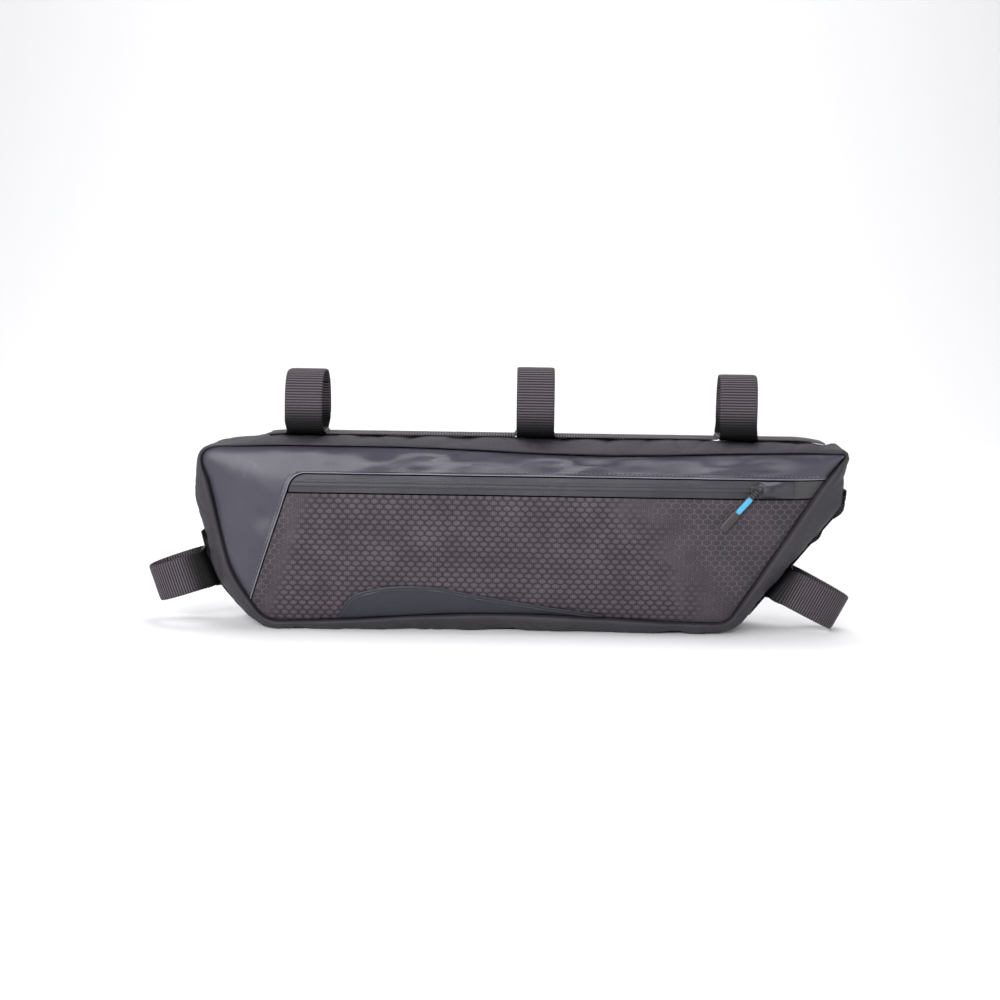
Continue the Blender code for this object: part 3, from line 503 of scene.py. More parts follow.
def ripstopFinish():
    # honeycomb: of two offset grids of centres the nearer one counts, and from that centre
    # edge = 1/2 - max(|x|, |x| / 2 + |y| x root of 3 / 2)
    t = Tree("honeycomb_ripstop")
    vector, u, v = t.uv()
    root = math.sqrt(3)
    x, y = u / ripstopLook["hexPitch"], v / (ripstopLook["hexPitch"] * ripstopLook["squash"])

    def cell(shift):
        a = t.maths("FLOORED_MODULO", x + shift, 1.0) - 0.5
        b = t.maths("FLOORED_MODULO", y + shift * root, root) - root / 2
        return a, b, a * a + b * b

    ax, ay, a2 = cell(0.0)
    bx, by, b2 = cell(0.5)
    second = t.maths("LESS_THAN", b2, a2)
    cx, cy = t.size(ax + (bx - ax) * second), t.size(ay + (by - ay) * second)
    edge = 0.5 - t.most(cx, cx * 0.5 + cy * (root / 2))
    upright = t.step(cx, 0.40, 0.49)
    line = 1 - t.step(edge, 0.015, 0.085 + upright * 0.04)
    # cell centres painted lighter: a painted highlight on each puffed cell
    pebble = t.step(edge, 0.05, 0.34)
    pillow = t.step(edge, 0.0, 0.42)
    ribs = t.wave(u, 0.135)
    weft = t.wave(v, 0.06)
    cloudy = t.noise(vector, 0.55, 3, 0.5)
    patchy = t.noise(vector, 6.0, 2, 0.6)
    slanted = u + v * 0.6 + (cloudy - 0.5) * 8.0
    # painted glint: the outline yarns turn light towards both ends of the pocket, where the cells also lose
    # their lighter middles
    paintedGlint = t.most(t.step(slanted, ripstopLook["glintFrom"], ripstopLook["glintTo"]),
                    1 - t.step(u - v * 0.32, ripstopLook["rearGlintTo"], ripstopLook["rearGlintFrom"]))
    shade = patchy * 0.45 + ribs * 0.16 + pebble * (0.62 - paintedGlint * 0.6) + (cloudy - 0.5) * 1.1 - 0.12
    cellColour = t.mix(t.least(t.most(shade, 0.0), 1.0), colour(*[0.45 * c for c in ripstopLook["cell"]]),
                       colour(*[1.35 * c for c in ripstopLook["cell"]]))
    lineColour = t.mix(paintedGlint, colour(*ripstopLook["line"]), colour(*ripstopLook["glintLine"]))
    t.bump(pillow * (1.0 - paintedGlint * 0.6) + ribs * 0.2 + weft * 0.08 + line * paintedGlint * 0.4, 0.20 * mm)
    return t.finish(Base_Color=t.mix(line * (0.92 - paintedGlint * 0.25), cellColour, lineColour),
                    Roughness=ripstopLook["rough"] + line * 0.12, Specular_IOR_Level=0.28)


gussetLook = {"colour": (0.014, 0.013, 0.017), "worn": (0.044, 0.040, 0.048), "rough": 0.56, "pitch": 0.075}


def gussetFinish():
    t = Tree("nylon_oxford")
    vector, u, v = t.uv()
    weave = t.wave(u, gussetLook["pitch"]) * t.wave(v, gussetLook["pitch"])
    cloudy = t.noise(t.place(), 34, 4, 0.6)
    slub = t.noise(vector, 14, 3, 0.7)
    t.bump(weave * 0.5 + slub * 0.7 + cloudy * 2.0, 0.09 * mm)
    return t.finish(Base_Color=t.mix(cloudy * 0.7 + slub * 0.3, colour(*gussetLook["colour"]),
                                     colour(*gussetLook["worn"])),
                    Roughness=gussetLook["rough"] + (slub - 0.5) * 0.2, Specular_IOR_Level=0.3)


# the dark colour is the tone in the rib valleys and under painted shade, the light one a painted highlight on
# the rib crests
webbingLook = {"colour": (0.002, 0.002, 0.0025), "light": (0.105, 0.088, 0.102), "rough": 0.40,
               # place and reach of the loops' painted shade along the loop, in centimetres
               "shadeAt": 4.6, "shadeReach": (2.0, 3.6), "endPitch": 0.1,
               "ribPitch": 0.18}


def webbingFinish(name, paintedShade):
    # along a loop the webbing carries painted shade on its low part, where it turns in under the chain
    # against the bag, and is lighter on its free faces
    t = Tree(name)
    vector, u, v = t.uv()
    ends = t.wave(v, webbingLook["endPitch"])
    twill = t.wave(u / webbingLook["ribPitch"] + v / webbingLook["endPitch"] * 0.5, 1.0)
    fuzz = t.noise(vector, 20, 3, 0.6)
    t.bump(ends * 0.5 + twill * 0.25 + fuzz * 0.8, 0.10 * mm)
    # rib valleys painted dark and rib crests painted light: painted shade and painted highlight across the
    # ribs
    crest = t.size(t.maths("SINE", u * (math.pi / webbingLook["ribPitch"])))
    # painted shade: for the loops the tone falls to dark near the low part of the loop
    free = t.step(t.size(u - webbingLook["shadeAt"]), *webbingLook["shadeReach"]) * paintedShade + (1 - paintedShade)
    tone = t.mix(crest**1.6 * free * (0.75 + fuzz * 0.35 + ends * 0.15), colour(*webbingLook["colour"]),
                 colour(*webbingLook["light"]))
    return t.finish(Base_Color=tone, Roughness=webbingLook["rough"] + (fuzz - 0.5) * 0.2 + (1 - crest) * 0.3,
                    Specular_IOR_Level=0.12)


zipLook = {"colour": (0.012, 0.012, 0.019), "woven": (0.060, 0.058, 0.062), "rough": 0.46, "coilPitch": 0.13,
           "wovenFrom": 39.55}


def zipFinish():
    t = Tree("coated_zip_tape")
    vector, u, v = t.uv()
    woven = t.step(u, zipLook["wovenFrom"], zipLook["wovenFrom"] + 0.05)
    ribs = t.wave(u, zipLook["coilPitch"])
    weave = t.wave(u, 0.11) * t.wave(v, 0.08)
    fine = t.noise(vector, 18, 3, 0.6)
    t.bump(ribs * 0.35 * (1 - woven) + weave * 0.8 * woven + fine * 0.8, 0.09 * mm)
    plain = t.mix(fine * 0.5, colour(*zipLook["colour"]), colour(*[1.3 * c for c in zipLook["colour"]]))
    return t.finish(Base_Color=t.mix(woven, plain, t.mix(weave * 0.5 + 0.5, colour(0.03, 0.029, 0.031),
                                                         colour(*zipLook["woven"]))),
                    Roughness=zipLook["rough"] + woven * 0.3 + (fine - 0.5) * 0.1)


def plainFinish(name, base, rough, relief=0.03, speck=0.25):
    t = Tree(name)
    fine = t.noise(t.place(), 1200.0, 3, 0.6)
    t.bump(fine, relief * mm)
    dark, light = [c * (1 - speck) for c in base], [c * (1 + speck) for c in base]
    return t.finish(Base_Color=t.mix(fine, colour(*dark), colour(*light)),
                    Roughness=rough + (fine - 0.5) * 0.15)


coated = coatedFinish("coated_cloth", coatedLook)
# a lighter copy of the coated cloth for the folded edge bead: painted highlight along the edge
edgeHighlightCoated = coatedFinish("coated_edge_painted_highlight", {**coatedLook, "colour": (0.15, 0.15, 0.175),
                                          "dusty": (0.20, 0.20, 0.225), "rough": 0.4})
# a darker copy of the coated cloth for the hood: painted shade
hoodShadedCoated = coatedFinish("coated_hood_painted_shade", {**coatedLook, "colour": (0.014, 0.013, 0.021),
                                          "dusty": (0.030, 0.028, 0.040), "rough": 0.22})
patchCoated = coatedFinish("coated_patch", {**coatedLook, "colour": (0.009, 0.010, 0.018),
                                            "dusty": (0.014, 0.014, 0.024), "rough": 0.42})
ripstop = ripstopFinish()
nylon = gussetFinish()
# the loops' webbing carries painted shade on their low part; the chains' and the pull loop's does not
webbing = webbingFinish("webbing", 0.0)
loopWebbing = webbingFinish("loop_webbing", 1.0)
zipCloth = zipFinish()
rubber = plainFinish("pull_rubber", (0.028, 0.025, 0.026), 0.5)
slateMetal = plainFinish("slider_enamel", (0.020, 0.020, 0.023), 0.32, relief=0.01)
blue = plainFinish("blue_rubber", (0.050, 0.330, 0.560), 0.42, speck=0.1)
thread = plainFinish("thread", (0.120, 0.115, 0.140), 0.55, relief=0.02)
print("finishes ready")

# gusset: a section carried round the seam, in front of it a rolled lip, behind it the same mirrored
gussetMake = {
    "around": 720, "across": 64, "wall": 1.5 * mm, "thinnest": 0.2, "mostOut": 0.5 * mm,
    "lipWave": 0.25, "lipRipple": (60 * mm, 21), "wrinkle": 1.0, "wrinkleRipple": (34 * mm, 22),
    "fine": 0.10, "fineRipple": (13 * mm, 23), "crease": 0.9, "creaseRipple": (26 * mm, 24),
    "creaseDrawn": 0.35,
}
gussetProfile = np.array([  # out to the crown, share of half depth, share of the lip
    (0.00, 0.950, 0.00), (0.03, 0.97, 0.25), (0.09, 1.00, 0.78), (0.20, 1.00, 1.00), (0.34, 0.98, 0.85),
    (0.48, 0.94, 0.50), (0.64, 0.86, 0.20), (0.80, 0.76, 0.00), (0.92, 0.60, 0.00), (0.975, 0.40, 0.00),
    (1.00, 0.00, 0.00)])


def catmull(points, count, steps=12):  # evenly spaced points on a Catmull-Rom curve through the given ones
    ends = np.concatenate([[2 * points[0] - points[1]], points, [2 * points[-1] - points[-2]]])
    t = np.linspace(0, 1, steps + 1)[:-1, None]
    parts = [0.5 * (2 * b + (c - a) * t + (2 * a - 5 * b + 4 * c - d) * t**2 + (3 * b - a - 3 * c + d) * t**3)
             for a, b, c, d in zip(ends, ends[1:], ends[2:], ends[3:])]
    return along(np.concatenate(parts + [points[-1:]]), np.linspace(0, 1, count))


def makeGusset():
    # at each step round the seam: seam + (crown - seam) x profile, with half depth and lip to the side;
    # ripples and creases then move it along its normal
    run = runOf(np.concatenate([fineSeam, fineSeam[:1]]))
    at = np.arange(gussetMake["around"]) * (run[-1] / gussetMake["around"])
    seam, crown = (np.stack([np.interp(at, run, np.append(line[:, k], line[0, k])) for k in range(2)], -1)
                   for line in (fineSeam, fineCrown))
    stand = np.linalg.norm(crown - seam, axis=1)
    lip = bagShape["lip"] * np.minimum(1, stand / bagShape["bulge"])
    turn = at / run[-1] * 2 * math.pi
    circle = np.stack([np.cos(turn), np.sin(turn)], -1) * run[-1] / 6.28
    lip = lip * (1 + gussetMake["lipWave"] * ripples(circle, *gussetMake["lipRipple"]))
    half = catmull(gussetProfile, gussetMake["across"] // 2)
    flat = seam[:, None] + (crown - seam)[:, None] * half[None, :, :1]
    depth = halfDepth(seam[:, 0])[:, None] * half[:, 1] + lip[:, None] * half[:, 2]
    front = onFace(flat, -depth)
    back = (front * np.array([1, -1, 1]))[:, ::-1]
    outer = np.concatenate([front, back[:, 1:]], axis=1)
    shares = np.concatenate([half[:, 0], half[::-1, 0][1:]])
    onwards = np.roll(outer, -1, axis=0) - np.roll(outer, 1, axis=0)
    normal = unit(np.cross(np.gradient(outer, axis=1), onwards))
    held = np.sin(np.clip(shares, 0, 1) * math.pi / 2) ** 0.8
    wrinkle = ripples(outer, *gussetMake["wrinkleRipple"]) * gussetMake["wrinkle"]
    wrinkle = wrinkle + ripples(outer, *gussetMake["fineRipple"]) * gussetMake["fine"]
    drawn = outer * np.array([1, gussetMake["creaseDrawn"], 1])
    ridge = 1 - np.abs(ripples(drawn, *gussetMake["creaseRipple"]))
    move = (wrinkle - gussetMake["crease"] * np.clip(ridge, 0, 1) ** 3) * mm * held
    outer = outer + normal * np.minimum(move, gussetMake["mostOut"])[..., None]
    outer[..., 2] = np.maximum(outer[..., 2], -bagShape["baseRest"])
    fullness = shares * stand[:, None] / gussetMake["wall"] + gussetMake["thinnest"]
    fullness = np.minimum(1, fullness)  # thinner by the seam
    inner = outer - normal * gussetMake["wall"] * fullness[..., None]
    uv = np.stack(np.broadcast_arrays(at[:, None], runOf(outer[100])[None]), -1)
    return keep(wall("gusset_roll", outer, inner, uv, nylon, ring=True), "gusset", "gusset")


makeGusset()
print("gusset ready")

# back panel
backMake = {"columns": 300, "rows": 110, "wall": 1.5 * mm, "gap": 0.05 * mm}


def panelGrid(columns, rows, gap):  # a grid inside the whole seam, from its four sides
    across, upwards = eased(columns, 0.7), eased(rows, 0.7)
    edge = inset(fineSeam, gap)
    turns = ["baseRear", "baseFront", "frontTip", "rearTop"]
    base, front, top, rear = (stretch(edge, fineAt[start], fineAt[end])
                              for start, end in zip(turns, turns[1:] + turns[:1]))
    return coons(along(base, across), along(top[::-1], across),
                 along(rear[::-1], upwards), along(front, upwards))


def makeBack():
    flat = panelGrid(backMake["columns"], backMake["rows"], backMake["gap"])
    return panelPiece("back_cloth", flat, backFace(flat), -backMake["wall"], nylon, "gusset", "back_panel")


makeBack()

# zip, pocket and wrap lines on the front panel
frontMake = {
    "zipDrop": 17.3 * mm, "zipHeight": 13 * mm, "pocketFoot": (0.0855, 0.123), "pocketHead": 0.1526,
    "pocketRound": 9 * mm, "wrapLift": 0.6 * mm, "wrapWall": 1.5 * mm, "zipWall": 1.1 * mm,
    "pocketWall": 1.5 * mm, "patchWall": 0.9 * mm, "restGap": 0.3 * mm,
}
zipTop = size[1] - frontMake["zipDrop"]
zipBottom = zipTop - frontMake["zipHeight"]
sewingGap = bagShape["sewingGap"]
pocketFoot = np.array(frontMake["pocketFoot"]) * size
pocketHead = np.array([frontMake["pocketHead"] * size[0], zipTop])


def frontEdge(height):
    line = panelSide("baseFront", "frontTip")
    return float(np.interp(height, line[:, 1], line[:, 0]))


def rearEdge(height):
    line = panelSide("rearTop", "baseRear")[::-1]
    return float(np.interp(height, line[:, 1], line[:, 0]))


def pocketSide(height):
    slope = (pocketHead[0] - pocketFoot[0]) / (zipTop - pocketFoot[1])
    return pocketFoot[0] + (height - pocketFoot[1]) * slope


def pocketEdge(count):  # up from the pocket's foot, round its corner and forward over the zip
    end = np.array([frontEdge(zipTop), zipTop])
    up = unit(pocketHead - pocketFoot)
    t = np.linspace(0, 1, 33)[:, None]
    before = pocketHead - up * frontMake["pocketRound"]
    after = pocketHead + np.array([frontMake["pocketRound"], 0])
    curve = (1 - t) ** 2 * before + 2 * t * (1 - t) * pocketHead + t**2 * after
    return along(np.concatenate([[pocketFoot], curve, [end]]), np.linspace(0, 1, count))


wrapMake = {
    "around": 520, "across": 56, "hemWidth": 2.6 * mm, "hemRise": 0.45 * mm, "stitchIn": 2.1 * mm,
    "stitchWidth": 1.1 * mm, "stitchDip": 0.35 * mm,
    "cord": 0.32 * mm, "cordLift": 0.15 * mm, "cordSteps": 640,
}


def makeWrap():
    # the hem is a half ellipse over its width; the sewn line beside it is drawn in
    shares = np.linspace(0, 1, wrapMake["around"])
    inner = pocketEdge(len(shares))
    footZ = inner[0, 1]
    rear = panelSide("rearTop", "baseRear")[::-1]
    top = panelSide("frontTip", "rearTop")[::-1]
    outer = np.concatenate([[[rearEdge(footZ), footZ]], rear[rear[:, 1] > footZ], top[1:]])
    outer = along(outer, shares)
    v = 1 - (1 - np.linspace(0, 1, wrapMake["across"])) ** 1.6
    flat = ruled(outer, inner, v)
    fromEdge = np.linalg.norm(outer - inner, axis=1)[:, None] * (1 - v)[None]
    hem = np.sqrt(np.clip(1 - (fromEdge / wrapMake["hemWidth"] * 2 - 1) ** 2, 0, 1)) * wrapMake["hemRise"]
    fromStitch = (fromEdge - wrapMake["stitchIn"]) / wrapMake["stitchWidth"]
    drawn = np.exp(-fromStitch**2) * wrapMake["stitchDip"]
    face = frontFace(flat, frontMake["wrapLift"]) - hem + drawn
    return panelPiece("wrap_cloth", flat, face, frontMake["wrapWall"], coated, "coated", "coated_wrap")


def makeEdge():
    # the folded edge itself: a round bead on the wrap's inner edge, in a lighter copy of the coated cloth as
    # a painted highlight
    edge = pocketEdge(wrapMake["cordSteps"])
    ahead = unit(np.gradient(edge, axis=0))
    edge = edge + np.stack([-ahead[:, 1], ahead[:, 0]], axis=1) * wrapMake["cord"]
    centres = onFace(edge, frontFace(edge, frontMake["wrapLift"] + wrapMake["cordLift"]))[None]
    forward = unit(np.gradient(centres[0], axis=0))[None]
    side = unit(np.cross(forward, np.array([0.0, -1.0, 0.0])))
    return keep(tubes("wrap_edge", centres, side, np.cross(side, forward), wrapMake["cord"], wrapMake["cord"],
                      edgeHighlightCoated, 10), "coated")


makeWrap()
makeEdge()

zipMake = {
    "along": 420, "across": 40, "meetWidth": 0.4 * mm, "meetDepth": 0.22 * mm, "coilHalf": 2.6 * mm,
    "coilEdge": 0.8 * mm, "coilRise": 0.26 * mm, "coilPitch": 1.3 * mm, "coilRib": 0.06 * mm,
}


def makeZip():
    # tape, with a raised band over the coil and a sunk line where the halves meet
    lowZ = zipBottom + sewingGap
    upper = pocketEdge(800)
    ahead = unit(np.gradient(upper, axis=0))
    upper = upper + np.stack([ahead[:, 1], -ahead[:, 0]], axis=1) * 2 * sewingGap
    upper = upper[upper[:, 1] > lowZ + 4 * sewingGap]
    upper[:, 0] = np.minimum(upper[:, 0], frontEdge(upper[-1, 1]))
    first, last = np.array([pocketSide(lowZ) + 3 * sewingGap, lowZ]), np.array([frontEdge(lowZ), lowZ])
    shares = np.linspace(0, 1, zipMake["along"])
    lower = along(np.array([first, last]), shares)
    flat = ruled(lower, along(upper, shares), np.linspace(0, 1, zipMake["across"]))
    off = flat[..., 1] - (zipBottom + frontMake["zipHeight"] / 2)
    coil = smoothRamp((zipMake["coilHalf"] - np.abs(off)) / zipMake["coilEdge"]) * zipMake["coilRise"]
    ribs = zipMake["coilRib"] * np.cos(2 * math.pi * flat[..., 0] / zipMake["coilPitch"]) * (coil > 0)
    meet = zipMake["meetDepth"] * np.exp(-(off / zipMake["meetWidth"]) ** 2)
    face = frontFace(flat) - coil - ribs + meet
    return panelPiece("zip_cloth", flat, face, frontMake["zipWall"], zipCloth, "zip", "zip_tape")


makeZip()

pocketMake = {"columns": 330, "rows": 110}


def makePocket():
    # the front face over a grid inside the pocket's four sides; the rear one bends at the pocket's foot
    across, upwards = eased(pocketMake["columns"], 0.5), eased(pocketMake["rows"], 0.5)
    topZ, footZ = zipBottom - sewingGap, pocketFoot[1] - 2 * sewingGap
    front = panelSide("baseFront", "frontTip")
    front = np.concatenate([front[front[:, 1] < topZ], [[frontEdge(topZ), topZ]]])
    base = panelSide("rearKnee", "baseFront")
    first = np.array([rearEdge(footZ), footZ])
    base = np.concatenate([[first], base[(base[:, 1] < footZ) & (base[:, 0] > first[0])]])
    corner = np.array([pocketSide(footZ) + 2 * sewingGap, footZ + sewingGap])
    head = np.array([pocketSide(topZ) + 2 * sewingGap, topZ])
    flat = coons(along(base, across), along(np.array([head, front[-1]]), across),
                 along(np.array([first, corner, head]), upwards), along(front, upwards))
    return panelPiece("pocket_cloth", flat, frontFace(flat), frontMake["pocketWall"], ripstop, "ripstop",
                      "pocket_panel")


makePocket()

patchMake = {
    "rear": 0.222, "length": 176 * mm, "height": 21 * mm, "along": 260, "across": 30,
    "edge": [(0.00, 0.22), (0.05, 0.74), (0.12, 0.93), (0.22, 1.00), (0.36, 0.92), (0.52, 0.62), (0.72, 0.34),
             (0.88, 0.18), (1.00, 0.09)],
    "ridgeIn": (0.7 * mm, 2.6 * mm), "ridgeWidth": 0.45 * mm, "ridgeRise": 0.45 * mm,
}


def patchFlat():  # from the base of the seam up to the patch's curved edge, which is height x its table
    edge = catmull(np.array(patchMake["edge"]), 200)
    shares = np.linspace(0, 1, patchMake["along"]) ** 1.3
    x = patchMake["rear"] * size[0] + shares * patchMake["length"]
    base = panelSide("baseRear", "baseFront")
    low = np.interp(x, base[:, 0], base[:, 1])
    high = low + np.interp(shares, edge[:, 0], edge[:, 1]) * patchMake["height"]
    return ruled(np.stack([x, low], -1), np.stack([x, high], -1), np.linspace(0, 1, patchMake["across"]))


def makePatch():
    # the front face with two ridges along its upper edge: rise x exp(-((distance - place) / width)^2)
    flat = patchFlat()
    slant = np.linalg.norm(np.gradient(flat[:, -1], axis=0), axis=-1)
    slope = np.gradient(flat[:, -1, 0]) / slant
    fromTop = (flat[:, -1:, 1] - flat[..., 1]) * np.abs(slope)[:, None]
    ridge = sum(np.exp(-((fromTop - place) / patchMake["ridgeWidth"]) ** 2) for place in patchMake["ridgeIn"])
    ridge *= patchMake["ridgeRise"]
    face = frontFace(flat, 2 * frontMake["restGap"] + frontMake["patchWall"]) - ridge
    return panelPiece("patch_cloth", flat, face, frontMake["patchWall"], patchCoated, "coated", "foot_patch")


makePatch()
print("front panel ready")

# hood over the parked slider
hoodMake = {
    "length": 23.5 * mm, "toTip": 37 * mm, "rise": 3.9 * mm, "along": 60, "across": 48, "ridge": 0.48,
    "fullness": 2.2, "sinks": 0.92, "sinksFrom": 0.25, "mouth": 0.35, "mouthReach": 0.16,
    "crease": 0.45 * mm, "creaseFrom": 0.75, "creaseFall": 0.35, "creaseWidth": 0.07,
}
hoodStart = size[0] - hoodMake["toTip"] - hoodMake["length"]


def makeHood():
    # rise x (1 - |across|^fullness) x how far it sinks forward x how it opens at its mouth, less a crease
    u = np.linspace(0, 1, hoodMake["along"])[:, None]
    v = np.linspace(0, 1, hoodMake["across"])[None, :]
    margin = 2 * sewingGap
    z = zipBottom + margin + (frontMake["zipHeight"] - 2 * margin) * v + 0 * u
    x = hoodStart + hoodMake["length"] * u + 0 * v
    flat = np.stack([x, z], axis=-1)
    ridge = hoodMake["ridge"]
    across = 1 - np.abs((v - ridge) / np.where(v < ridge, ridge, 1 - ridge)) ** hoodMake["fullness"]
    ahead = 1 - hoodMake["sinks"] * smoothRamp((u - hoodMake["sinksFrom"]) / (1 - hoodMake["sinksFrom"]))
    mouth = hoodMake["mouth"] + (1 - hoodMake["mouth"]) * smoothRamp(u / hoodMake["mouthReach"])
    fromCrease = (v - hoodMake["creaseFrom"] + hoodMake["creaseFall"] * u) / hoodMake["creaseWidth"]
    crease = hoodMake["crease"] * np.exp(-fromCrease**2) * smoothRamp(1 - u)
    resting = frontFace(flat, frontMake["restGap"] + frontMake["zipWall"])
    face = resting - hoodMake["rise"] * across * ahead * mouth + crease
    return panelPiece("hood_cloth", flat, face, frontMake["zipWall"], hoodShadedCoated, "coated", "zip_hood")


makeHood()

# slider and pull
pullMake = {
    "sliderLength": 9 * mm, "sliderWidth": 5.5 * mm, "sliderThickness": 2 * mm, "cord": 3.4 * mm,
    "cordLength": 5.5 * mm, "gripLength": 29 * mm, "gripWidth": 5.5 * mm, "gripThickness": 2.4 * mm,
    "standoff": 3 * mm, "angle": 229, "stripeLength": 13 * mm, "stripeWidth": 3.4 * mm,
    "stripeThickness": 0.5 * mm, "stripeFrom": 0.04, "sliderSteps": 41, "cordFrom": 0.5 * mm, "cordSteps": 90,
    "cordRibs": 7, "cordRibRise": 0.10, "gripSteps": 120, "stripeSteps": 60,
    # along the grip: shares of its width and of its thickness
    "gripWidths": ((0, 0.6), (0.03, 0.86), (0.5, 0.88), (0.55, 1), (0.93, 1), (0.94, 0.93), (0.955, 0.93),
                   (0.965, 1), (1, 0.97)),
    "gripThicks": ((0, 0.5), (0.04, 0.95), (0.5, 0.95), (0.55, 1), (0.93, 1), (0.94, 0.9), (0.955, 0.9),
                   (0.965, 1), (1, 0.85)),
}


def plainFront(flat):  # the panel's face without its fine unevenness, which the pull hangs before
    rise = riseOf(flat)
    return -(halfDepth(flat[..., 0]) + bagShape["panelBulge"] * rise - foldDepth(flat, panelFolds) * rise**2)


sliderFlat = np.array([hoodStart - pullMake["sliderLength"] / 8, zipBottom + frontMake["zipHeight"] / 2])
underSlider = sliderFlat + np.array([(-1, -1), (-1, 1), (1, -1), (1, 1), (0, 0)]) * (
    np.array([pullMake["sliderLength"], pullMake["sliderWidth"]]) / 2)
sliderDepth = plainFront(underSlider).min() - frontMake["restGap"] - pullMake["sliderThickness"] / 2


def superBar(name, line, side, forward, halfWidths, halfThicks, power, finish, around=28):
    # a bar along a line: side x a |cos|^p + forward x b |sin|^p, both with their signs
    angle = np.arange(around) * (2 * math.pi / around)
    c, s = np.cos(angle), np.sin(angle)
    c, s = np.sign(c) * np.abs(c) ** power, np.sign(s) * np.abs(s) ** power
    count = len(line)
    points = (line[:, None] + np.asarray(side) * (np.asarray(halfWidths)[:, None] * c)[..., None]
              + np.asarray(forward) * (np.asarray(halfThicks)[:, None] * s)[..., None])
    i, j = np.meshgrid(np.arange(count - 1), np.arange(around), indexing="ij")
    following = (j + 1) % around
    quads = [np.stack([i * around + j, i * around + following, (i + 1) * around + following,
                       (i + 1) * around + j], -1).reshape(-1, 4)]
    for ring, flip in ((0, True), (count - 1, False)):
        k = np.arange(around // 2 - 1)
        cap = ring * around + np.stack([k, k + 1, around - 2 - k, around - 1 - k], -1)
        quads.append(cap[:, ::-1] if flip else cap)
    uv = np.stack(np.broadcast_arrays(runOf(line)[:, None], (angle * 1 * mm)[None]), -1)
    return meshOf(name, points, np.concatenate(quads), uv, finish, 60)


def makeSlider():
    # a low waisted bar: its width and thickness are drawn in at both ends by root of (1 - t^8)
    length, width, thick = (pullMake[k] for k in ("sliderLength", "sliderWidth", "sliderThickness"))
    t = np.linspace(-1, 1, pullMake["sliderSteps"])
    flat = np.stack([sliderFlat[0] + t * length / 2, sliderFlat[1] + 0 * t], -1)
    line = onFace(flat, sliderDepth + 0 * t)
    end = (1 - np.abs(t) ** 8) ** 0.5
    halfWidths = width / 2 * (0.86 + 0.14 * t**2) * (0.3 + 0.7 * end)
    halfThicks = thick / 2 * (0.45 + 0.55 * end)
    body = superBar("slider_body", line, (0, 0, 1), (0, -1, 0), halfWidths, halfThicks, 0.55, slateMetal)
    return keep(body, "slider", "zip_slider")


makeSlider()


def pullLine(start, end, count):
    # a straight line off the slider, over the cloth by half a thickness and a standoff that grows along it
    way = np.array([math.cos(math.radians(pullMake["angle"])), math.sin(math.radians(pullMake["angle"]))])
    run = np.linspace(start, end, count)
    line = sliderFlat + run[:, None] * way
    onSlider = sliderDepth - pullMake["sliderThickness"] / 2 - frontMake["restGap"] - pullMake["cord"] / 2
    standing = pullMake["standoff"] * run / (pullMake["cordLength"] + pullMake["gripLength"])
    onCloth = plainFront(line) - standing - frontMake["restGap"] - pullMake["gripThickness"] / 2
    return onFace(line, np.minimum(onSlider, onCloth)), np.array([-way[1], 0, way[0]])


def makePull():  # three bars along the pull's line: the ribbed loop, the tab and its coloured stripe
    forward = (0, -1, 0)
    line, side = pullLine(pullMake["cordFrom"], pullMake["cordLength"], pullMake["cordSteps"])
    t = np.linspace(0, 1, pullMake["cordSteps"])
    ribs = 1 + pullMake["cordRibRise"] * np.cos(2 * math.pi * t * pullMake["cordRibs"])
    half = pullMake["cord"] / 2
    flatter = np.linspace(0.9, 0.6, pullMake["cordSteps"])
    cord = superBar("pull_loop", line, side, forward, half * ribs, half * flatter * ribs, 0.8, webbing)
    keep(cord, "webbing", "pull_cord")
    begin = pullMake["cordLength"] + frontMake["restGap"]
    line, side = pullLine(begin, begin + pullMake["gripLength"], pullMake["gripSteps"])
    t = np.linspace(0, 1, pullMake["gripSteps"])
    width = pullMake["gripWidth"] / 2 * np.interp(t, *zip(*pullMake["gripWidths"]))
    thick = pullMake["gripThickness"] / 2 * np.interp(t, *zip(*pullMake["gripThicks"]))
    grip = superBar("pull_tab", line, side, forward, width, thick, 0.6, rubber)
    keep(grip, "rubber", "pull_grip")
    first = begin + pullMake["gripLength"] * pullMake["stripeFrom"]
    line, side = pullLine(first, first + pullMake["stripeLength"], pullMake["stripeSteps"])
    line[:, 1] -= pullMake["gripThickness"] / 2 + frontMake["restGap"] * 0.2
    t = np.linspace(-1, 1, pullMake["stripeSteps"])
    end = (1 - np.abs(t) ** 10) ** 0.5
    stripe = superBar("pull_accent", line, side, forward, pullMake["stripeWidth"] / 2 * (0.5 + 0.5 * end),
                      pullMake["stripeThickness"] / 2 * (0.4 + 0.6 * end), 0.6, blue)
    keep(stripe, "blue", "pull_stripe")


makePull()
print("zip parts ready")

# webbing
webMake = {
    "width": 25 * mm, "thickness": 1.6 * mm, "chainWidth": 23 * mm, "chainThickness": 1.4 * mm,
    "ribPitch": 1.8 * mm, "ribRise": 0.27 * mm, "perRib": 8, "across": 27, "scallop": 0.22 * mm,
    "tackHalf": 2.5 * mm, "strapGap": 0.35 * mm, "bowRamp": 2.2 * mm, "besideStrap": -0.5 * mm,
    "loopHeight": 49 * mm, "loopDepth": 34 * mm, "leanFrom": 2.5 * mm, "leanRamp": 8 * mm,
    "begins": 0.80, "ends": 0.27,
}
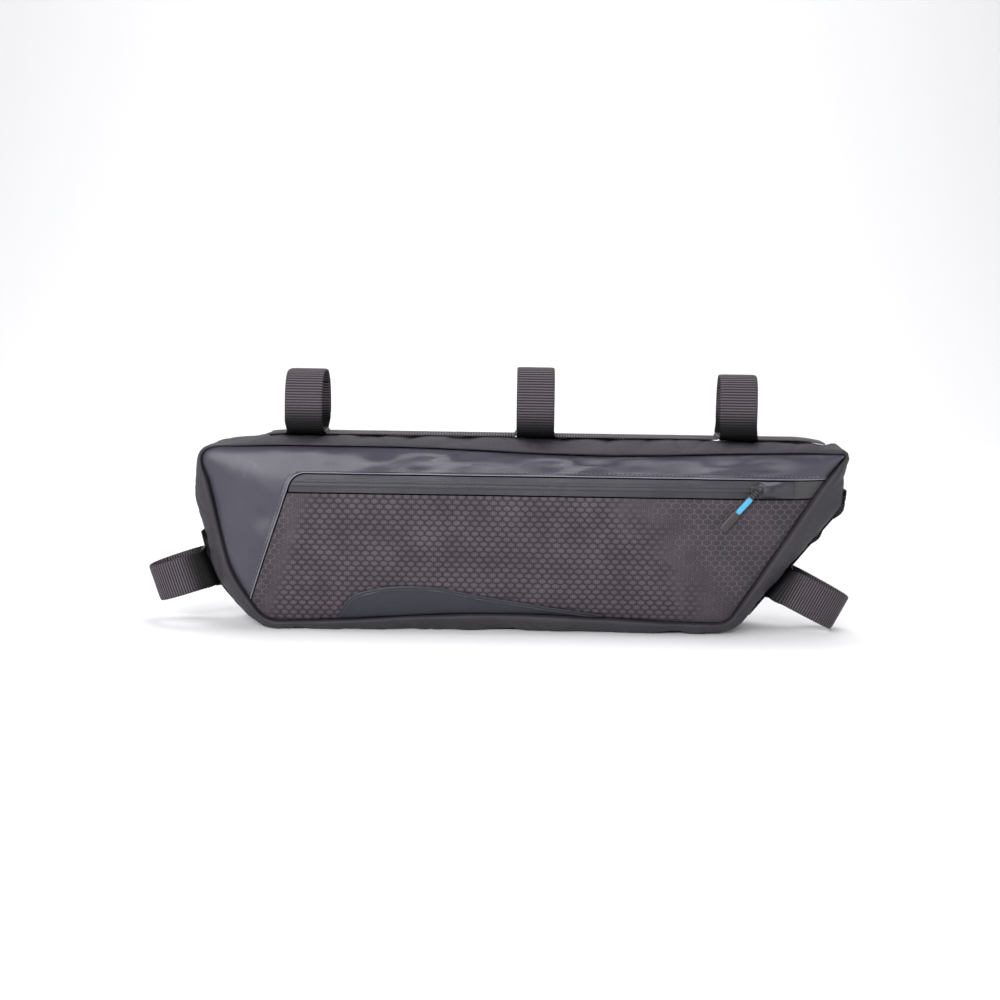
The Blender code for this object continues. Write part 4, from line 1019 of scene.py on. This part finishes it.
# name, the corners that it runs between, its start and end as shares of that way, tacks, bow between them
chains = {
    "chain_top": ("topRear", "topFront", -0.015, 1.03,
                  (0.007, 0.135, 0.272, 0.412, 0.553, 0.671, 0.782, 0.906, 0.993), 0.35 * mm),
    "chain_rear": ("rearKnee", "baseRear", -0.62, 0.78, (0.04, 0.68, 0.96), 1.0 * mm),
    "chain_front": ("frontShoulder", "baseFront", -0.05, 0.86, (0.025, 0.25, 0.45, 0.975), 2.6 * mm),
}
straps = [  # name, chain, place along it, height, lean in degrees, twist as a share of the width
    ("strap_top_rear", "chain_top", 0.0665, 0.87, 0, 0.10),
    ("strap_top_middle", "chain_top", 0.4785, 0.93, 0, 0),
    ("strap_top_front", "chain_top", 0.843, 0.87, 0, 0.06),
    ("strap_seat_tube", "chain_rear", 0.37, 0.875, -4.5, 0),
    ("strap_down_tube", "chain_front", 0.72, 1.03, -11.5, 0),
]
walkCrown, walkAt = outlines(6)[1:]


def crownPlaces(chain, shares):  # points, way and outward direction along a chain's part of the crown
    first, last = walkAt[chain[0]], walkAt[chain[1]]
    count = len(walkCrown)
    step = 1 if (last - first) % count <= count / 2 else -1
    between = (last - first) * step % count
    spare = count // 8
    whole = walkCrown[(first + step * np.arange(-spare, between + spare + 1)) % count]
    run = runOf(whole)
    run = (run - run[spare]) / (run[spare + between] - run[spare])
    wanted = chain[2] + (chain[3] - chain[2]) * np.atleast_1d(shares)

    def point(at):
        return np.stack([np.interp(at, run, whole[:, k]) for k in range(2)], axis=-1)

    reach = 0.01  # to both sides, for the way
    way = unit(point(wanted + reach) - point(wanted - reach))
    return point(wanted), way, np.stack([way[:, 1], -way[:, 0]], axis=1) * step


def chainLength(chain):
    return runOf(crownPlaces(chain, np.linspace(0, 1, 200))[0])[-1]


def band(name, middle, normal, sideways, width, thickness, finish, node):
    # webbing along a line: ribs = |sin| bumps across it, warp ends and scalloped edges at the same pitch
    run = runOf(middle)
    v = np.linspace(-1, 1, webMake["across"])
    phase = run / webMake["ribPitch"]
    rib = np.abs(np.sin(math.pi * phase))[:, None] ** 0.7
    ends = 0.75 + 0.25 * np.cos(np.pi * 12 * v)[None]
    half = width / 2 + webMake["scallop"] * (np.abs(np.sin(math.pi * phase)) - 1)
    edge = np.sqrt(np.clip(1 - np.abs(v) ** 10, 0, 1))[None] * 0.8 + 0.2
    faces = []
    for way in (1, -1):
        high = (thickness / 2 - webMake["ribRise"] * (1 - rib * ends)) * edge
        faces.append(middle[:, None] + sideways[:, None] * (half[:, None] * v)[..., None]
                     + way * normal[:, None] * high[..., None])
    uv = np.stack(np.broadcast_arrays(run[:, None], (v * width / 2)[None]), -1)
    return keep(wall(name, faces[0], faces[1], uv, finish, smoothAngle=70), "webbing", node)


def loopLine(height, count):
    # a smooth curve in y and height: down the back, flat under the chain, up the front, over the top and
    # down the back again, where each point is moved out from the middle by the lap
    bottom = webMake["strapGap"] + webMake["thickness"] / 2
    half = webMake["loopDepth"] / 2 - webMake["thickness"] / 2
    foot = webMake["chainWidth"] / 2 + webMake["strapGap"]

    def level(share):
        return bottom + share * (height - bottom)

    crossing = [(foot, bottom), (foot * 0.5, bottom), (0, bottom)]
    front = [(half * 0.97, level(0.09)), (half, level(0.30)), (half * 0.97, level(0.55)),
             (half * 0.84, level(0.78)), (half * 0.50, level(0.95)), (0, level(1))]
    back = front[::-1]
    lap = webMake["thickness"] + frontMake["restGap"]
    path = [(y, n, 0) for y, n in back if n <= level(webMake["begins"])]
    path += [(y, n, 0) for y, n in crossing] + [(-y, n, 0) for y, n in crossing[-2::-1]]
    path += [(-y, n, 0) for y, n in front]
    lapped = [(y, n) for y, n in back[1:] if n >= level(webMake["ends"])]
    path += [(y, n, lap * min(1, (k + 1) / 1.5)) for k, (y, n) in enumerate(lapped)]
    y, n, outwards = np.array(path).T
    fromCentre = unit(np.stack([y, n - level(0.5)], axis=1))
    return catmull(np.stack([y, n], axis=1) + fromCentre * outwards[:, None], count, 16)


def makeStrap(name, chainName, place, height, leanDegrees, twist):
    # the loop's line set on the crown, turned by its lean and shifted by its twist above the chain
    here, way, out = (value[0] for value in crownPlaces(chains[chainName], place))
    rough = loopLine(height * webMake["loopHeight"], 200)
    count = int(runOf(rough)[-1] / webMake["ribPitch"] * webMake["perRib"])
    line = loopLine(height * webMake["loopHeight"], count)
    ahead = unit(np.gradient(line, axis=0))
    normal = np.stack([-ahead[:, 1], ahead[:, 0]], axis=1)
    free = smoothRamp((line[:, 1] - webMake["leanFrom"]) / webMake["leanRamp"])
    lean = math.radians(leanDegrees) * free
    shifted = twist * webMake["width"] * free * line[:, 0] / webMake["loopDepth"]
    wayIn, outIn = onFace(way, 0.0), onFace(out, 0.0)

    def turned(y, n, shift):
        flat = (np.cos(lean) * shift + np.sin(lean) * n)[:, None] * wayIn
        flat = flat + (np.cos(lean) * n - np.sin(lean) * shift)[:, None] * outIn
        return flat + y[:, None] * np.array([0, 1, 0])

    middle = turned(line[:, 0], line[:, 1], shifted) + onFace(here, 0.0)
    face = unit(turned(normal[:, 0], normal[:, 1], 0.0))
    sideways = unit(turned(0 * line[:, 0], 0 * line[:, 0], 1.0))
    return band(name.replace("strap", "loop"), middle, face, sideways, webMake["width"],
                webMake["thickness"], loopWebbing, name)


for strap in straps:
    makeStrap(*strap)
print("straps ready")


def crownRise(chain, place, length):  # how far the crown stands over a strap's straight foot
    half = webMake["width"] / 2 / length
    before, middle, after = crownPlaces(chain, [place - half, place, place + half])[0]
    return np.linalg.norm(middle - (before + after) / 2)


def chainLift(distance, name, length):
    # over the crown by the resting gap, and between two tacks by bow x ramp up x ramp down
    chain = chains[name]
    tacks = np.array(chain[4]) * length
    held = [row[2] for row in straps if row[1] == name]
    lift = np.full_like(distance, frontMake["restGap"])
    for first, last in zip(tacks[:-1], tacks[1:]):
        first, last = first + webMake["tackHalf"], last - webMake["tackHalf"]
        if last <= first:
            continue
        inside = [place for place in held if first < place * length < last]
        if inside:
            bow = webMake["thickness"] + 2 * webMake["strapGap"] + crownRise(chain, inside[0], length)
            ramp = webMake["bowRamp"]
            reach = webMake["width"] / 2 + webMake["besideStrap"] + ramp
            first, last = max(first, inside[0] * length - reach), min(last, inside[0] * length + reach)
        else:
            bow = chain[5] * min(1, (last - first) / webMake["chainWidth"])
            ramp = (last - first) / 2
        bowed = bow * smoothRamp((distance - first) / ramp) * smoothRamp((last - distance) / ramp)
        lift = np.maximum(lift, bowed)
    return lift


def makeChain(name):  # a band along the crown + outward direction x lift
    chain = chains[name]
    length = chainLength(chain)
    shares = np.linspace(0, 1, int(length / webMake["ribPitch"] * webMake["perRib"]))
    here, _, out = crownPlaces(chain, shares)
    lift = chainLift(shares * length, name, length) + webMake["chainThickness"] / 2
    middle = here + out * lift[:, None]
    ahead = unit(np.gradient(middle, axis=0))
    normal = np.stack([ahead[:, 1], -ahead[:, 0]], axis=1)
    normal *= np.sign((normal * out).sum(1))[:, None]
    sideways = np.broadcast_to(np.array([0.0, 1.0, 0.0]), (len(middle), 3))
    middle, normal = onFace(middle, 0.0 * shares), onFace(normal, 0.0 * shares)
    return band(name.replace("chain", "web"), middle, normal, sideways, webMake["chainWidth"],
                webMake["chainThickness"], webbing, name)


for name in chains:
    makeChain(name)
print("chains ready")

# stitches
stitchMake = {"length": 2.3 * mm, "gap": 0.7 * mm, "radius": 0.22 * mm, "rings": 6, "sunk": 0.25 * mm}


def stitches(name, line, outwards, finish, slot):
    # each stitch follows the line, dips into the cloth at its ends and is drawn in there
    length, total = stitchMake["length"], runOf(line)[-1]
    pitch = length + stitchMake["gap"]
    count = int(total / pitch)
    t = np.linspace(0, 1, stitchMake["rings"])
    at = (np.arange(count)[:, None] * pitch + t[None] * length) / total
    centres = along(line, at.ravel()).reshape(count, -1, 3)
    ups = unit(along(outwards, at.ravel()).reshape(count, -1, 3))
    shape = np.sin(np.pi * np.clip(t * 0.92 + 0.04, 0, 1))
    centres = centres + ups * ((shape - 0.7) * stitchMake["radius"])[None, :, None]
    ahead = unit(np.gradient(centres, axis=1))
    sides = unit(np.cross(ahead, ups))
    radius = stitchMake["radius"] * (0.35 + 0.65 * np.sqrt(shape))
    return keep(tubes(name, centres, sides, np.cross(sides, ahead), radius, radius, finish), slot)


def onPanel(flat, lift):  # a line on the front panel and its outward directions
    face = onFace(flat, frontFace(flat, lift))
    small = 0.4 * mm
    dx = frontFace(flat + np.array([small, 0]), lift) - frontFace(flat - np.array([small, 0]), lift)
    dz = frontFace(flat + np.array([0, small]), lift) - frontFace(flat - np.array([0, small]), lift)
    return face, unit(np.stack([dx / (2 * small), np.full(len(flat), -1.0), dz / (2 * small)], -1))


def makeStitches():
    edge = pocketEdge(700)
    ahead = unit(np.gradient(edge, axis=0))
    left = np.stack([-ahead[:, 1], ahead[:, 0]], axis=1)
    line = (edge + left * wrapMake["stitchIn"])[8:-4]
    stitches("wrap_stitches", *onPanel(line, frontMake["wrapLift"] - stitchMake["sunk"]), thread, "coated")


makeStitches()
print("stitches ready")

# floor, light and camera
stageMake = {
    "floor": 6.0, "floorRun": (-3.0, 5.0), "floorSteps": (60, 160), "bend": 1.2, "bendFrom": 1.2,
    "floorColour": (0.86, 0.86, 0.87), "under": 0.02 * mm, "distance": 1.1, "elevation": 8, "roll": 0.9,
    "lookAt": (202.25 * mm, 86.8 * mm), "lens": 58.57, "world": (0.95, 0.96, 1.0, 1), "worldStrength": 0.16,
}


def makeFloor():
    # flat in front, curving up behind: height = bend x (1 - cos) past the bend line
    steps, rings = stageMake["floorSteps"]
    u = np.linspace(-1, 1, steps) * stageMake["floor"]
    run = np.linspace(*stageMake["floorRun"], rings)
    bend, start = stageMake["bend"], stageMake["bendFrom"]
    angle = np.clip((run - start) / bend, 0, math.pi / 2)
    past = np.maximum(run - start - bend * math.pi / 2, 0)
    y = np.where(run < start, run, start + bend * np.sin(angle))
    z = bend * (1 - np.cos(angle)) + past
    points = np.stack(np.broadcast_arrays(u[:, None], y[None], z[None]), -1) - toWorld
    points[..., 2] -= stageMake["under"]
    i, j = np.meshgrid(np.arange(steps - 1), np.arange(rings - 1), indexing="ij")
    first = (i * rings + j).reshape(-1)
    quads = np.stack([first, first + 1, first + rings + 1, first + rings], -1)
    paper = plainFinish("floor_paper", stageMake["floorColour"], 0.7, relief=0.0, speck=0.0)
    meshOf("floor", points, quads[:, ::-1], points[..., :2], paper)


makeFloor()


def setPose(thing, right, up, back, place):
    matrix = np.eye(4)
    matrix[:3, 0], matrix[:3, 1], matrix[:3, 2], matrix[:3, 3] = right, up, back, place
    thing.matrix_world = Matrix(matrix.tolist())


# name: place, what it points at, power in watts, width and height
lights = {
    "front_soft": ((-0.35, -1.35, 0.72), (0, 0, 0.1), 21, 1.3, 0.16),
    "top_soft": ((0.1, 0.15, 1.4), (0, 0, 0.05), 17, 1.6, 0.7),
    "left_soft": ((-1.3, -0.95, 0.75), (-0.1, 0, 0.08), 10, 0.35, 0.8),
    "right_soft": ((1.35, -0.7, 0.45), (0.1, 0, 0.08), 5, 0.4, 0.7),
    "back_soft": ((0, 0.7, 1.5), (0, 2.2, 0.55), 26, 2.4, 0.5),
}
for name, (place, target, power, width, height) in lights.items():
    data = bpy.data.lights.new(name, "AREA")
    data.shape, data.size, data.size_y, data.energy = "RECTANGLE", width, height, power
    lamp = bpy.data.objects.new(name, data)
    bpy.context.scene.collection.objects.link(lamp)
    back = unit(np.array(place, float) - np.array(target, float))
    right = unit(np.cross((0, 0, 1), back))
    setPose(lamp, right, np.cross(back, right), back, place)


def makeCamera():
    e, r = math.radians(stageMake["elevation"]), math.radians(stageMake["roll"])
    right, up = np.array([1.0, 0, 0]), np.array([0, math.sin(e), math.cos(e)])
    back = np.array([0, -math.cos(e), math.sin(e)])
    data = bpy.data.cameras.new("camera")
    data.lens, data.sensor_width, data.clip_end = stageMake["lens"], 36, 30
    camera = bpy.data.objects.new("camera", data)
    bpy.context.scene.collection.objects.link(camera)
    across, height = stageMake["lookAt"]
    place = back * stageMake["distance"] + np.array([toWorld[0] + across, 0, height])
    rolled = right * math.cos(r) + up * math.sin(r), up * math.cos(r) - right * math.sin(r)
    setPose(camera, *rolled, back, place)
    bpy.context.scene.camera = camera


makeCamera()
world = bpy.data.worlds.new("studio")
bpy.context.scene.world = world
world.use_nodes = True
background = world.node_tree.nodes["Background"]
background.inputs["Color"].default_value = stageMake["world"]
background.inputs["Strength"].default_value = stageMake["worldStrength"]
bpy.context.scene.view_settings.view_transform = "Standard"
